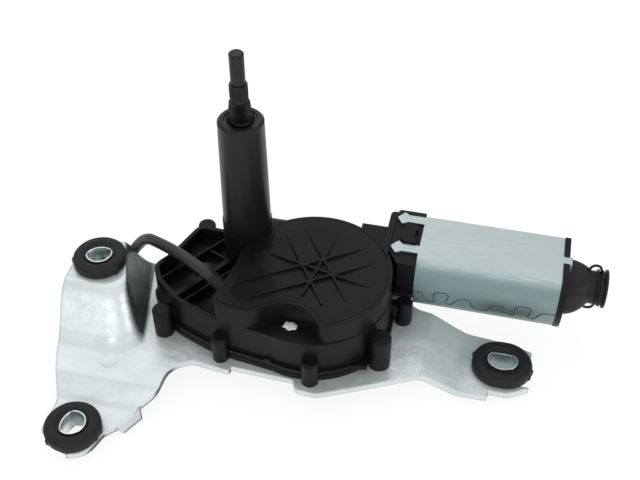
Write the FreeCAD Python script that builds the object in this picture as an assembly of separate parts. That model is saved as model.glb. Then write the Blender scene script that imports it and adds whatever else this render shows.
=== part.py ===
import FreeCAD, Part
import math
import os

# Rear wiper motor: a worm geared motor on a pressed steel bracket.
# Millimetres. The origin is on the spindle axis at the foot of the shaft sleeve.
# +Z runs up along the spindle, +X along the motor axis away from the gears.

V = FreeCAD.Vector
UP = V(0, 0, 1)
ALONG = V(1, 0, 0)

# Fits
FIT = 0.02
RUN = 0.04
AIR = 0.3

# Heights of the main levels
LID_TOP = -8.0
LID_THICK = 2.4
WEB_TOP = -15.0
WEB_THICK = 2.2
TRAY_RIM = -19.0
TRAY_FLOOR = -26.0
TRAY_FLOOR_THICK = 2.0
FLANGE_TOP = -35.0
FLANGE_THICK = 1.3
HOUSING_FOOT = -37.5
SEAL_THICK = 0.8
PLATE_TOP = -41.0
SHEET = 2.5
EAR_DROP = 7.5
EAR_SLOPE = 9.5
TOWER_RISE = 21.0
BEND_R = 6.0
ARM_BEND_R = 10.0
FOOT_FLARE = 0.3
FOOT_BLEND = 0.4
RIM_BLEND = 0.2
UNDER_SHIFT = (-1.4, 1.3)
DIMPLE_AT = (-48.3, -63.5)
DIMPLE_R = 4.0
DIMPLE_DEPTH = 0.7
MOUTH_WIDTH = 17.5
TAB_DROP = 4.5
FRONT_MOUTH_DEG = -126.0
ARM_BEND_X = 89.0
ARM_SLOPE = 17.5

# Bounds of the sheet before it is cut to outline
SHEET_LEFT = -120.0
SHEET_RIGHT = 160.0
SHEET_FRONT = -130.0
SHEET_BACK = 60.0
SHEET_DEEP = -70.0

# Gear drum, lid outline and walls
DRUM_X = 35.8
DRUM_Y = -17.9
LID_R = 33.2
LID_TAIL = 3.2
LID_CORNER_R = 8.0
LID_TIP_R = 3.0
RIM_WALL = 1.6
WALL = 2.6
LID_GAP = 0.15
COVER_SEAL_THICK = 0.5
LID_SEAT = 2.2
POCKET_X = 30.6
POCKET_Y = -56.2
POCKET_R = 17.0
POCKET_FLOOR = -19.0
SCALLOP_R = 12.7
DISH_DEPTH = 1.5
DISH_R = 27.8
RIB_WIDTH = 1.1

# Spindle and its bearings
SLEEVE_TALL = 55.3
SLEEVE_FOOT_D = 21.8
SLEEVE_TOP_D = 20.1
SLEEVE_BAND = 5.0
COLLAR_R = 11.3
TUBE_WALL = 1.3
BUSH_WALL = 1.0
SPINDLE_D = 10.0
SPINDLE_FOOT_D = 8.0
BUSH_LONG = 10.0
CONE_FOOT_D = 10.55
CONE_TOP_D = 8.8
CONE_TALL = 9.2
NECK_D = 7.0
NECK_TALL = 0.9
THREAD_D = 8.0
THREAD_LONG = 7.6
TIP_D = 6.25
TIP_TALL = 14.4
TIP_FLAT_DEEP = 0.7
TIP_FLAT_LONG = 7.2

# Swinging gears: pinion on the spindle, toothed sector on a fixed pin
GEAR_MODULE = 1.0
PINION_TEETH = 17
SECTOR_TEETH = 29
SECTOR_AXIS_DEG = -145.6
PRESSURE_DEG = 20.0
BACKLASH = 0.12
SWING_DEG = 110.0
SECTOR_ARM = 15.0
ARM_MID_DEG = -95.0
SECTOR_SIDE_TEETH = 4
PINION_THICK = 5.0
SECTOR_THICK = 4.6
GEAR_FOOT = -37.1
ROD_THICK = 2.8
ROD_TOP = -29.1
ROD_WIDTH = 7.0
EYE_R = 4.6
PIVOT_PIN_D = 6.0
ROD_PIN_D = 5.0
CRANK_PIN_D = 6.0

# Worm drive
MOTOR_Y = 12.0
MOTOR_Z = -21.0
WHEEL_X = 35.8
WHEEL_Y = -13.0
WHEEL_TEETH = 42
WHEEL_THICK = 7.0
WORM_R = 4.4
WHEEL_TOOTH_ADD = 0.95
WHEEL_TOOTH_DED = 1.25
AXLE_D = 6.0
TUNNEL_R = 6.7
TUNNEL_START = 9.0
WORM_TURNS = 6
WORM_PHASE_DEG = 90.0
SHAFT_D = 6.0
WORM_SHAFT_D = 4.8
BALL_R = 1.5

# Motor
HOLDER_TUCK = 3.0
HOLDER_HALF = 18.0
HOLDER_LONG = 13.2
CAN_LONG = 64.3
CAN_HALF_FLAT = 14.3
CAN_HALF_THICK = 14.2
CAN_BULGE = 5.1
CAN_WALL = 1.5
TAB_THICK = 1.2
CRIMP_MIDDLES = (3.6, 23.4)
CRIMP_NECK = 4.8
CRIMP_HEAD = 8.2
END_TAB_Y = 9.0
END_TAB_WIDE = 5.0
END_PLATE_THICK = 2.6
ROTOR_R = 11.8
SLOT_COUNT = 10
COMMUTATOR_R = 6.5
COMMUTATOR_LONG = 9.0
BRUSH_WIDE = 4.0
BRUSH_LONG = 7.0
BRUSH_REACH = 16.2
PAD_NEAR = 6.4
PAD_FAR = 19.0
PAD_TALL = 2.2
CHOKE_R = 2.25
CHOKE_LONG = 7.5
MAGNET_GAP = 0.6

# Rubber end boot
BOOT_LONG = 10.9
BOOT_NECK_R = 7.6
BOOT_NECK_LONG = 7.6
BOOT_DISC_R = 8.8
BOOT_HALF_WIDE = 11.8
BOOT_HALF_TALL = 10.0
BOOT_CORNER_R = 6.0
BOOT_DROP = 2.2

# Grommets: x, y of each centre and how long the hole is along X
GROMMET_D = 24.6
GROMMET_WAIST_D = 19.0
GROMMET_FOOT_D = 20.2
GROMMET_TALL = 10.0
GROMMET_ABOVE = 5.5
SLEEVE_BORE_D = 11.0
SLEEVE_WALL = 0.7
SLEEVE_PROUD = 0.2
BACK_EAR = (-65.0, -23.9)
FRONT_EAR = (-51.9, -97.2)
RIGHT_EAR = (123.9, -21.3)
RIGHT_STRETCH = 2.6
SLOT_LONG = 12.4
SLOT_WIDE = 8.1
SLOT_SET = 0.9

# Ribs in the tray: how far each stands off the first one, its width and height
TRAY_RIB_FROM = (-25.9, -34.5)
TRAY_RIB_DEG = 56.9
TRAY_CROSS_DEG = -24.5
TRAY_RIBS = [(-11.8, 0.9, 5.0), (0.0, 2.6, 5.0), (6.0, 1.0, 4.4)]

# Screw bosses: x, y, radius, top
BOSSES = [(-29.8, -40.6, 4.5, -25.8), (0.0, -49.9, 3.65, -27.1), (42.2, -54.1, 3.85, -27.7),
          (69.9, -37.2, 5.0, -23.1), (76.2, -9.4, 3.9, -27.8), (-24.5, 11.2, 4.2, -19.0),
          (34.0, 24.5, 4.0, -24.0)]
SCREW_D = 4.0
PILOT_LONG = 9.0
SCREW_HEAD_D = 8.0
SCREW_HEAD_TALL = 2.6

# Wiring lead
LEAD_D = 5.4
GLAND_AT = (-0.9, -32.9, -14.4)
GLAND_WALL = 0.6
LEAD_HEADING = (-0.88, 0.38, 0.28)
CONNECTOR_AT = (-62.2, -60.5)
CONNECTOR_SIZE = (20.0, 15.0, 10.6)
LEAD_IN = 4.0

# Sizes that follow from those above
LID_FRONT = DRUM_Y - LID_R + LID_TAIL
TUBE_BORE_D = SPINDLE_D + 2 * BUSH_WALL
TUBE_D = TUBE_BORE_D + 2 * TUBE_WALL
CENTRE_DISTANCE = GEAR_MODULE * (PINION_TEETH + SECTOR_TEETH) / 2
PINION_R = GEAR_MODULE * PINION_TEETH / 2
SECTOR_R = GEAR_MODULE * SECTOR_TEETH / 2
WHEEL_R = MOTOR_Y - WHEEL_Y - WORM_R
WHEEL_PITCH = 2 * math.pi * WHEEL_R / WHEEL_TEETH
WORM_LONG = WHEEL_PITCH * WORM_TURNS
HOLDER_START = DRUM_X + LID_R - HOLDER_TUCK
NECK_END = HOLDER_START
CAN_START = HOLDER_START + HOLDER_LONG
CAN_END = CAN_START + CAN_LONG
CORE_START = CAN_START + 8.8
CORE_LONG = CAN_LONG - 30.3
SHAFT_END = CAN_END - 2.5
COMMUTATOR_START = HOLDER_START + 2.6
BOOT_START = CAN_END + END_PLATE_THICK
BOOT_NECK_X = BOOT_START + BOOT_LONG
BOOT_END = BOOT_NECK_X + BOOT_NECK_LONG
SHAFT_START = TUNNEL_START + 2 * BALL_R + 0.1
BRUSH_START = HOLDER_START + 4.6
WEB_BOTTOM = WEB_TOP - WEB_THICK
WHEEL_FOOT = MOTOR_Z - WHEEL_THICK / 2
COVER_TOP = HOUSING_FOOT - SEAL_THICK
ROOM_TOP = TRAY_FLOOR - TRAY_FLOOR_THICK
THREAD_FOOT = SLEEVE_TALL + CONE_TALL + NECK_TALL
LOW_EAR = PLATE_TOP - EAR_DROP
HIGH_EAR = PLATE_TOP + TOWER_RISE
SECTOR_X = CENTRE_DISTANCE * math.cos(math.radians(SECTOR_AXIS_DEG))
SECTOR_Y = CENTRE_DISTANCE * math.sin(math.radians(SECTOR_AXIS_DEG))
SECTOR_SWING_DEG = SWING_DEG * PINION_TEETH / SECTOR_TEETH
ARM_REST_DEG = ARM_MID_DEG - SECTOR_SWING_DEG / 2
ARM_FAR_DEG = ARM_MID_DEG + SECTOR_SWING_DEG / 2


def arm_end(angle):
    """Centre of the rod pin when the sector's arm points at this angle."""
    turn = math.radians(angle)
    return SECTOR_X + SECTOR_ARM * math.cos(turn), SECTOR_Y + SECTOR_ARM * math.sin(turn)


REST_PIN = arm_end(ARM_REST_DEG)
FAR_PIN = arm_end(ARM_FAR_DEG)
REST_REACH = math.hypot(REST_PIN[0] - WHEEL_X, REST_PIN[1] - WHEEL_Y)
FAR_REACH = math.hypot(FAR_PIN[0] - WHEEL_X, FAR_PIN[1] - WHEEL_Y)
CRANK_R = (REST_REACH - FAR_REACH) / 2
ROD_LONG = (REST_REACH + FAR_REACH) / 2
CRANK_X = WHEEL_X + CRANK_R * (REST_PIN[0] - WHEEL_X) / REST_REACH
CRANK_Y = WHEEL_Y + CRANK_R * (REST_PIN[1] - WHEEL_Y) / REST_REACH


# General shapes

def cylinder(radius, low, high, x=0.0, y=0.0):
    return Part.makeCylinder(radius, high - low, V(x, y, low), UP)


def ring(outer, inner, low, high, x=0.0, y=0.0):
    return cylinder(outer, low, high, x, y).cut(cylinder(inner, low - 1, high + 1, x, y))


def barrel(radius, start, end, y=MOTOR_Y, z=MOTOR_Z):
    """Cylinder along the motor axis."""
    return Part.makeCylinder(radius, end - start, V(start, y, z), ALONG)


def barrel_ring(outer, inner, start, end):
    return barrel(outer, start, end).cut(barrel(inner, start - 1, end + 1))


def block(x0, x1, y0, y1, z0, z1):
    return Part.makeBox(x1 - x0, y1 - y0, z1 - z0, V(x0, y0, z0))


def corner_wire(points, height=0.0):
    """Closed outline of (x, y, corner radius) points."""
    pts = [V(x, y, height) for x, y, _ in points]
    count = len(pts)
    starts, ends, arcs = [], [], []
    for i in range(count):
        here, radius = pts[i], points[i][2]
        to_last = (pts[i - 1] - here).normalize()
        to_next = (pts[(i + 1) % count] - here).normalize()
        half = to_last.getAngle(to_next) / 2
        reach = radius / math.tan(half)
        starts.append(here + to_last * reach)
        ends.append(here + to_next * reach)
        if radius > 0:
            middle = (to_last + to_next).normalize()
            tip = here + middle * (radius / math.sin(half) - radius)
            arcs.append(Part.Arc(starts[i], tip, ends[i]).toShape())
        else:
            arcs.append(None)
    edges = []
    for i in range(count):
        if arcs[i]:
            edges.append(arcs[i])
        after = (i + 1) % count
        if ends[i].distanceToPoint(starts[after]) > 1e-6:
            edges.append(Part.LineSegment(ends[i], starts[after]).toShape())
    return Part.Wire(edges)


def prism(points, low, high):
    return Part.Face(corner_wire(points, low)).extrude(V(0, 0, high - low))


def face_of(points):
    return Part.Face(Part.makePolygon(points + [points[0]]))


def offset_prism(face, offset, low, high):
    """Prism on an outline drawn at height 0, grown outwards or shrunk by an offset."""
    grown = face if offset == 0 else face.makeOffset2D(offset)
    base = grown.translated(V(0, 0, low))
    return base.extrude(V(0, 0, high - low))


def spun(profile, x=0.0, y=0.0):
    """Revolve (radius, z) points about an upright axis."""
    pts = [V(r, 0, z) for r, z in profile]
    wire = Part.makePolygon(pts + [pts[0]])
    return Part.Face(wire).revolve(V(0, 0, 0), UP, 360).translated(V(x, y, 0))


def spun_along(profile, y=MOTOR_Y, z=MOTOR_Z):
    """Revolve (radius, x) points about the motor axis."""
    pts = [V(x, 0, r) for r, x in profile]
    wire = Part.makePolygon(pts + [pts[0]])
    return Part.Face(wire).revolve(V(0, 0, 0), ALONG, 360).translated(V(0, y, z))


def turned_to(shape, place, angle):
    """Shape turned about the vertical through the origin, then moved to a place."""
    shape.rotate(V(0, 0, 0), UP, angle)
    return shape.translated(V(place[0], place[1], 0))


def joined(shapes):
    return shapes[0].multiFuse(shapes[1:]) if len(shapes) > 1 else shapes[0]


def without(shape, tools):
    return shape.cut(Part.makeCompound(tools))


def outer_face(shape, height):
    """Flat face of a shape at one height, moved to height 0."""
    found = [f for f in shape.Faces if abs(f.BoundBox.ZMin - height) < 1e-6
             and abs(f.BoundBox.ZMax - height) < 1e-6]
    biggest = max(found, key=lambda f: f.Area)
    return Part.Face(biggest.OuterWire).translated(V(0, 0, -height))


# Outlines shared by the housing, the covers and the seals

def lid_outline():
    """Teardrop: drum circle, straight left edge, hollow for the spindle and S-shaped front."""
    drum = cylinder(LID_R, 0, 1, DRUM_X, DRUM_Y)
    tail = prism([(-1.7, LID_FRONT + 1.7, 2.5), (4.6, -11.0, 0), (DRUM_X, DRUM_Y, 0), (DRUM_X + 8, LID_FRONT, 0),
                  (8.0, LID_FRONT, 30.0)], 0, 1)
    pocket = cylinder(POCKET_R, -1, 2, POCKET_X, POCKET_Y)
    scallop = cylinder(SCALLOP_R, -1, 2)
    shape = drum.fuse(tail).removeSplitter().cut(pocket).cut(scallop)
    shape = shape.cut(front_corner(LID_CORNER_R)).cut(pocket_tip(LID_TIP_R))
    return outer_face(shape.removeSplitter(), 0.0)


def corner_waste(centre, radius, first, last):
    """What a corner between two headings loses when an arc about this centre rounds it."""
    reach = 3 * radius
    wedge = face_of([centre, centre + first * reach, centre + (first + last).normalize() * reach, centre + last * reach])
    return wedge.extrude(V(0, 0, 3)).cut(cylinder(radius, -1, 2, centre.x, centre.y))


def front_corner(radius):
    """Waste where the straight front meets the pocket."""
    outer = POCKET_R + radius
    rise = LID_FRONT + radius - POCKET_Y
    centre = V(POCKET_X - math.sqrt(outer * outer - rise * rise), LID_FRONT + radius, -1)
    return corner_waste(centre, radius, V(0, -1, 0), (V(POCKET_X, POCKET_Y, -1) - centre).normalize())


def pocket_tip(radius):
    """Waste at the tip between drum and pocket."""
    drum, pocket = V(DRUM_X, DRUM_Y, -1), V(POCKET_X, POCKET_Y, -1)
    gap = pocket.distanceToPoint(drum)
    towards = (pocket - drum).normalize()
    aside = V(-towards.y, towards.x, 0)
    inner, outer = LID_R - radius, POCKET_R + radius
    along = (inner * inner - outer * outer + gap * gap) / (2 * gap)
    centre = drum + towards * along + aside * math.sqrt(inner * inner - along * along)
    return corner_waste(centre, radius, (centre - drum).normalize(), (pocket - centre).normalize())


def rim_edges(shape, height):
    """Edges that lie flat at one height."""
    return [e for e in shape.Edges if abs(e.BoundBox.ZMin - height) < 1e-6
            and abs(e.BoundBox.ZMax - height) < 1e-6]


def upright_edges(shape):
    """Straight edges parallel to Z."""
    return [e for e in shape.Edges if len(e.Vertexes) == 2
            and abs(e.Vertexes[0].X - e.Vertexes[1].X) < 1e-6
            and abs(e.Vertexes[0].Y - e.Vertexes[1].Y) < 1e-6]


def base_outline():
    """Foot of the housing: lever room on the left, drum, and worm tunnel behind."""
    lever_room = prism([(30.0, -52.0, 0), (-3.0, -47.7, 60.0), (-22.5, -40.2, 25.0), (-34.5, -30.2, 8.0),
                        (-40.2, -21.4, 7.0), (-34.6, -12.0, 6.0), (-27.6, 9.8, 5.0), (-13.5, 9.0, 4.0),
                        (0.0, 15.5, 14.0), (20.0, 21.6, 6.0), (56.0, 21.6, 8.0), (56.0, -20.0, 0)], 0, 1)
    drum = cylinder(LID_R + RIM_WALL + 0.4, 0, 1, DRUM_X, DRUM_Y)
    return outer_face(lever_room.fuse(drum).removeSplitter(), 0.0)


LID_FACE = lid_outline()
BASE_FACE = base_outline()


# Gear housing

def boss(x, y, radius, top):
    """Blind screw boss with a domed top."""
    dome = radius * 0.28
    return spun([(0, PLATE_TOP), (radius, PLATE_TOP), (radius, top - dome), (radius - dome * 0.3, top - dome * 0.35),
                 (radius - dome, top), (0, top)], x, y)


def boss_web(x, y, radius, top):
    """Wall that ties a boss to the housing."""
    reach = 9.0
    to_x = DRUM_X - x if x > 10 else -14.0 - x
    to_y = DRUM_Y - y if x > 10 else -22.0 - y
    turn = math.degrees(math.atan2(to_y, to_x))
    web = block(0, reach, -radius * 0.55, radius * 0.55, FLANGE_TOP - 1.0, top - 1.6)
    web.rotate(V(0, 0, 0), UP, turn)
    return web.translated(V(x, y, 0))


def gland_hole():
    start, heading = V(*GLAND_AT), V(*LEAD_HEADING)
    reach = 3.0
    return Part.makeCylinder(LEAD_D / 2 + GLAND_WALL + FIT, reach + 5.0, start + heading * reach, heading * -1)


def tray_recess():
    """Open tray on the left with its slanting ribs left standing."""
    floor = offset_prism(BASE_FACE, -2.0, TRAY_FLOOR, TRAY_RIM + 20)
    left = block(-60, 6.0, -60, 12, TRAY_FLOOR, TRAY_RIM + 20)
    recess = floor.common(left)
    recess = recess.cut(offset_prism(LID_FACE, RIM_WALL, TRAY_FLOOR - 1, 0))
    recess = recess.cut(cylinder(COLLAR_R, TRAY_FLOOR - 1, 1))
    ribs = []
    for shift, width, tall in TRAY_RIBS:
        rib = block(0, 60, -shift - width, -shift, TRAY_FLOOR - 1, TRAY_FLOOR + tall)
        ribs.append(turned_to(rib, TRAY_RIB_FROM, TRAY_RIB_DEG))
    cross = block(0, 13, -0.5, 0.5, TRAY_FLOOR - 1, TRAY_FLOOR + 4.0)
    ribs.append(turned_to(cross, (-20.8, -2.0), TRAY_CROSS_DEG))
    ribs.append(cylinder(4.2, TRAY_FLOOR - 1, TRAY_FLOOR + 1.6, SECTOR_X, SECTOR_Y))
    return without(recess, ribs)


def pocket_cut():
    """Recess under the S-curve of the lid, down to its ledge."""
    tool = cylinder(POCKET_R - RIM_WALL, POCKET_FLOOR, 0, POCKET_X, POCKET_Y)
    front = offset_prism(LID_FACE, RIM_WALL, POCKET_FLOOR - 1, 1)
    return tool.cut(front)


def housing_bolt_places():
    return [(x, y) for x, y, _, _ in BOSSES]


def gear_housing():
    upper = offset_prism(LID_FACE, RIM_WALL, TRAY_FLOOR, LID_TOP)
    lower = offset_prism(BASE_FACE, 0, HOUSING_FOOT, TRAY_RIM)
    flange = offset_prism(BASE_FACE, 1.5, FLANGE_TOP - FLANGE_THICK, FLANGE_TOP)
    lip = offset_prism(BASE_FACE, 1.3, HOUSING_FOOT, HOUSING_FOOT + 0.9)
    collar = cylinder(COLLAR_R, ROOM_TOP, 0.0)
    tunnel = barrel(TUNNEL_R + 1.9, TUNNEL_START - 3.0, NECK_END - 2.0)
    neck_top = MOTOR_Z + TUNNEL_R + 1.9
    neck = prism([(50, 2.5, 0), (NECK_END - 2, 2.5, 2), (NECK_END - 2, 21.5, 2), (50, 21.5, 0)], -34.0, neck_top)
    motor_flange = prism([(NECK_END - 3.2, -3.5, 2.0), (NECK_END, -3.5, 0), (NECK_END, 27.5, 0),
                          (NECK_END - 3.2, 27.5, 2.0)], MOTOR_Z - CAN_HALF_THICK + 0.6, LID_TOP + 0.6)
    body = upper
    hook = prism([(58.8, -46.8, 0.4), (66.0, -45.2, 0.4), (64.6, -39.0, 0), (57.4, -40.6, 0)], HOUSING_FOOT, FLANGE_TOP)
    clip = cylinder(2.3, HOUSING_FOOT, FLANGE_TOP + 1.2, 22.6, -50.2)
    for piece in (hook, clip, lower, flange, lip, collar, tunnel, neck, motor_flange):
        body = body.fuse(piece)
    for place in BOSSES:
        body = body.fuse(boss(*place)).fuse(boss_web(*place))
    seat_floor = LID_TOP - LID_THICK - COVER_SEAL_THICK
    lead_side = block(-20, 90, -60, MOTOR_Y - TUNNEL_R - WALL, WEB_TOP, seat_floor)
    tools = [offset_prism(LID_FACE, 0, seat_floor, LID_TOP + 1),
             offset_prism(LID_FACE, -LID_SEAT, WEB_TOP, seat_floor).common(lead_side),
             tray_recess(), pocket_cut(),
             cylinder(WHEEL_R + 4.0, HOUSING_FOOT - 1, WEB_BOTTOM, WHEEL_X, WHEEL_Y),
             offset_prism(BASE_FACE, -WALL, HOUSING_FOOT - 1, ROOM_TOP),
             barrel(TUNNEL_R, TUNNEL_START, NECK_END + 1),
             cylinder(TUBE_D / 2 + FIT, ROOM_TOP - 1, 1),
             cylinder(AXLE_D / 2 + FIT, WEB_BOTTOM - 1, WEB_TOP + 2, WHEEL_X, WHEEL_Y),
             cylinder(PIVOT_PIN_D / 2 + FIT, ROOM_TOP - 1, TRAY_FLOOR + 2.2, SECTOR_X, SECTOR_Y),
             gland_hole()]
    tools += [cylinder(SCREW_D / 2 + FIT, PLATE_TOP - 1, PLATE_TOP + PILOT_LONG, x, y)
              for x, y in housing_bolt_places()]
    for tool in tools:
        body = body.cut(tool)
    return body


# Covers and seals

def lid_ribs():
    """Six straight ribs: the sides and diagonals of a small square, drawn out."""
    ends = [((17.3, 3.2), (43.9, -37.9)), ((25.5, 8.7), (54.1, -34.4)), ((41.5, 9.6), (34.1, -34.2)),
            ((55.9, 1.2), (2.7, -34.7)), ((61.7, -7.5), (8.9, -43.1)), ((63.8, -23.6), (14.8, -12.4))]
    ribs = []
    for (x0, y0), (x1, y1) in ends:
        long = math.hypot(x1 - x0, y1 - y0)
        rib = block(0, long, -RIB_WIDTH / 2, RIB_WIDTH / 2, LID_TOP - DISH_DEPTH - 0.3, LID_TOP)
        rib.rotate(V(0, 0, 0), UP, math.degrees(math.atan2(y1 - y0, x1 - x0)))
        ribs.append(rib.translated(V(x0, y0, 0)))
    return joined(ribs)


def dish(x, y, radius, depth):
    """Shallow spherical hollow sunk from the lid's top plane."""
    ball = (radius * radius + depth * depth) / (2 * depth)
    return Part.makeSphere(ball, V(x, y, LID_TOP - depth + ball), ALONG)


def gear_cover():
    slab = offset_prism(LID_FACE, -LID_GAP, LID_TOP - LID_THICK, LID_TOP)
    skirt = offset_prism(LID_FACE, -LID_SEAT - LID_GAP, LID_TOP - LID_THICK - 0.8, LID_TOP - LID_THICK)
    skirt = skirt.common(block(-20, 90, -60, MOTOR_Y - TUNNEL_R - 2.8, -20, 0))
    hollow = dish(DRUM_X, DRUM_Y, DISH_R, DISH_DEPTH).fuse(dish(14.6, -32.0, 13.6, 1.0))
    hollow = hollow.common(offset_prism(LID_FACE, -3.6, LID_TOP - 3, LID_TOP + 1))
    ribs = lid_ribs().common(offset_prism(LID_FACE, -3.0, LID_TOP - 3, LID_TOP))
    return slab.fuse(skirt).cut(hollow.cut(ribs))


def cover_screws_clearance(shape):
    cuts = [cylinder(r + 0.2, PLATE_TOP - 1, COVER_TOP + 2, x, y) for x, y, r, _ in BOSSES]
    return without(shape, cuts)


def base_seal():
    """Band under the housing's wall that runs round the inside of the bosses."""
    whole = offset_prism(BASE_FACE, 0.3, COVER_TOP, HOUSING_FOOT)
    band = whole.cut(offset_prism(BASE_FACE, -WALL + 0.3, COVER_TOP - 1, HOUSING_FOOT + 1))
    for x, y, r, _ in BOSSES:
        band = band.fuse(whole.common(cylinder(r + 2.0, COVER_TOP, HOUSING_FOOT, x, y)))
    return cover_screws_clearance(band)


def bottom_cover():
    plate = offset_prism(BASE_FACE, 1.2, PLATE_TOP, COVER_TOP)
    pan = offset_prism(BASE_FACE, -WALL - 0.4, PLATE_TOP + 1.6, COVER_TOP + 1)
    body = plate.cut(pan)
    seats = [cylinder(6.0, PLATE_TOP, COVER_TOP, 0, 0), cylinder(6.0, PLATE_TOP, COVER_TOP, SECTOR_X, SECTOR_Y)]
    body = joined([body] + seats)
    body = body.cut(cylinder(SPINDLE_FOOT_D / 2 + 1.2, PLATE_TOP + 1.2, COVER_TOP + 1))
    return cover_screws_clearance(body).removeSplitter()


# Pressed steel bracket

def plate_outline():
    return [(-77.4, -26.0, 7.0), (-76.6, -46.0, 20.0), (-74.4, -61.0, 30.0), (-65.4, -84.5, 12.0),
            (-66.0, -104.0, 11.0), (-54.0, -109.8, 10.0), (-42.6, -109.8, 11.0), (-38.6, -96.0, 4.0),
            (-34.6, -92.0, 2.0), (-28.4, -79.6, 3.0), (-21.3, -73.5, 8.0), (-20.6, -60.5, 10.0), (-12.0, -55.2, 6.0),
            (5.7, -57.2, 1.0), (6.2, -54.6, 1.0), (34.6, -55.6, 1.0), (37.0, -60.6, 2.5), (46.5, -61.0, 8.0),
            (66.0, -51.8, 20.0), (89.6, -39.9, 14.0), (119.0, -39.9, 0.8), (119.4, -36.2, 0.8),
            (128.0, -36.2, 10.0), (136.9, -31.0, 0.8), (136.9, -9.4, 0.8), (130.0, -7.4, 6.0), (117.0, -5.4, 16.0),
            (100.0, -4.0, 12.0), (82.0, -1.2, 10.0), (72.0, 6.0, 6.0), (62.0, 23.0, 8.0), (40.0, 31.0, 8.0),
            (20.0, 28.5, 10.0), (6.0, 21.0, 10.0), (-28.0, 18.0, 8.0), (-38.0, 3.0, 8.0), (-48.0, 0.5, 6.0),
            (-55.0, -6.8, 3.0), (-60.0, -9.2, 3.0), (-73.6, -9.6, 8.0)]


def folded_top():
    """Solid below the main plate's top surface and that of both low ears, with rounded bends."""
    bend_foot = FRONT_EAR[1] + GROMMET_D / 2 + AIR + BEND_R * 0.4
    side = [(SHEET_FRONT, SHEET_DEEP, 0), (SHEET_FRONT, LOW_EAR, 0), (bend_foot, LOW_EAR, BEND_R),
            (bend_foot + EAR_SLOPE, PLATE_TOP, BEND_R), (SHEET_BACK, PLATE_TOP, 0), (SHEET_BACK, SHEET_DEEP, 0)]
    plate = Part.Face(corner_wire(side)).extrude(V(0, 0, ARM_BEND_X - SHEET_LEFT))
    plate.rotate(V(0, 0, 0), V(1, 1, 1), 120)
    front = [(ARM_BEND_X - 9.0, SHEET_DEEP, 0), (ARM_BEND_X - 9.0, PLATE_TOP, 0), (ARM_BEND_X, PLATE_TOP, ARM_BEND_R),
             (ARM_BEND_X + ARM_SLOPE, LOW_EAR, ARM_BEND_R), (SHEET_RIGHT, LOW_EAR, 0), (SHEET_RIGHT, SHEET_DEEP, 0)]
    arm = Part.Face(corner_wire(front)).extrude(V(0, 0, SHEET_BACK - SHEET_FRONT))
    arm.rotate(V(0, 0, 0), ALONG, 90)
    return plate.translated(V(SHEET_LEFT, 0, 0)), arm.translated(V(0, SHEET_BACK, 0))


def blend(start, corner, end, steps=4):
    """Points of a parabola that rounds a corner between two straight runs."""
    pts = []
    for i in range(steps + 1):
        u = i / steps
        pts.append(tuple(a * (1 - u) ** 2 + 2 * b * u * (1 - u) + c * u * u for a, b, c in zip(start, corner, end)))
    return pts


def tower_solid():
    """Frustum that lifts the back-left ear, with a flared foot and a rounded rim."""
    top = [(SHEET_LEFT, 40, 0), (SHEET_LEFT, -41.0, 0), (-46.0, -39.5, 7.0), (-77.4, 40, 0)]
    foot = [(SHEET_LEFT, SHEET_BACK, 0), (SHEET_LEFT, -57.0, 0), (-36.5, -57.5, 11.0), (-65.2, SHEET_BACK, 0)]
    flare = blend((-FOOT_FLARE, 0.0), (0.0, 0.0), (FOOT_BLEND, FOOT_BLEND))
    rim = blend((1 - RIM_BLEND, 1 - RIM_BLEND), (1.0, 1.0), (1 + RIM_BLEND, 1.0))
    wires = []
    for share, rise in flare + rim:
        points = [tuple(low + (high - low) * share for low, high in zip(*pair)) for pair in zip(foot, top)]
        wires.append(corner_wire(points, PLATE_TOP + TOWER_RISE * rise))
    return Part.makeLoft(wires, True, True)


def bracket_holes():
    holes = [cylinder(SCREW_D / 2 + 0.25, -60, 0, x, y) for x, y in housing_bolt_places()]
    for x, y in (BACK_EAR, FRONT_EAR):
        holes.append(cylinder(GROMMET_WAIST_D / 2, -60, 0, x, y))
    holes.append(stadium(GROMMET_WAIST_D / 2, RIGHT_STRETCH, -60, 0, RIGHT_EAR))
    return holes + [mouth(FRONT_EAR, FRONT_MOUTH_DEG), mouth(RIGHT_EAR, 0.0)]


def mouth(place, heading):
    """Slot through which a grommet is pushed sideways in to its ear."""
    slot = block(0, 40, -MOUTH_WIDTH / 2, MOUTH_WIDTH / 2, SHEET_DEEP, 0)
    return turned_to(slot, place, heading)


def front_tab():
    """Short flange bent down at the right edge of the front-left ear."""
    start, end = V(-34.6, -91.6, LOW_EAR), V(-28.2, -79.6, LOW_EAR)
    along = (end - start).normalize()
    out = V(along.y, -along.x, 0)
    drop = out * (TAB_DROP * 0.5) - UP * TAB_DROP
    face = face_of([start, end, end + drop - along * 1.5, start + drop + along * 1.5])
    return face.extrude((out * -1 - UP * 0.5).normalize() * SHEET)


def mounting_bracket():
    """Everything below the top surface, less a copy of it moved in and down."""
    plate, arm = folded_top()
    raised = plate.fuse(tower_solid())
    ball = (DIMPLE_R * DIMPLE_R + DIMPLE_DEPTH * DIMPLE_DEPTH) / (2 * DIMPLE_DEPTH)
    raised = raised.cut(Part.makeSphere(ball, V(*DIMPLE_AT, PLATE_TOP - DIMPLE_DEPTH + ball), ALONG))
    above = raised.fuse(arm)
    sheet = above.cut(above.translated(V(*UNDER_SHIFT, -SHEET)))
    body = sheet.common(prism(plate_outline(), SHEET_DEEP, 0)).fuse(front_tab())
    body = without(body, bracket_holes())
    return body.removeSplitter()


# Grommets and their steel sleeves

def stadium(radius, stretch, low, high, centre):
    x, y = centre
    half = stretch / 2
    if half == 0:
        return cylinder(radius, low, high, x, y)
    ends = [cylinder(radius, low, high, x - half, y), cylinder(radius, low, high, x + half, y)]
    return joined(ends + [block(x - half, x + half, y - radius, y + radius, low, high)]).removeSplitter()


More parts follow.
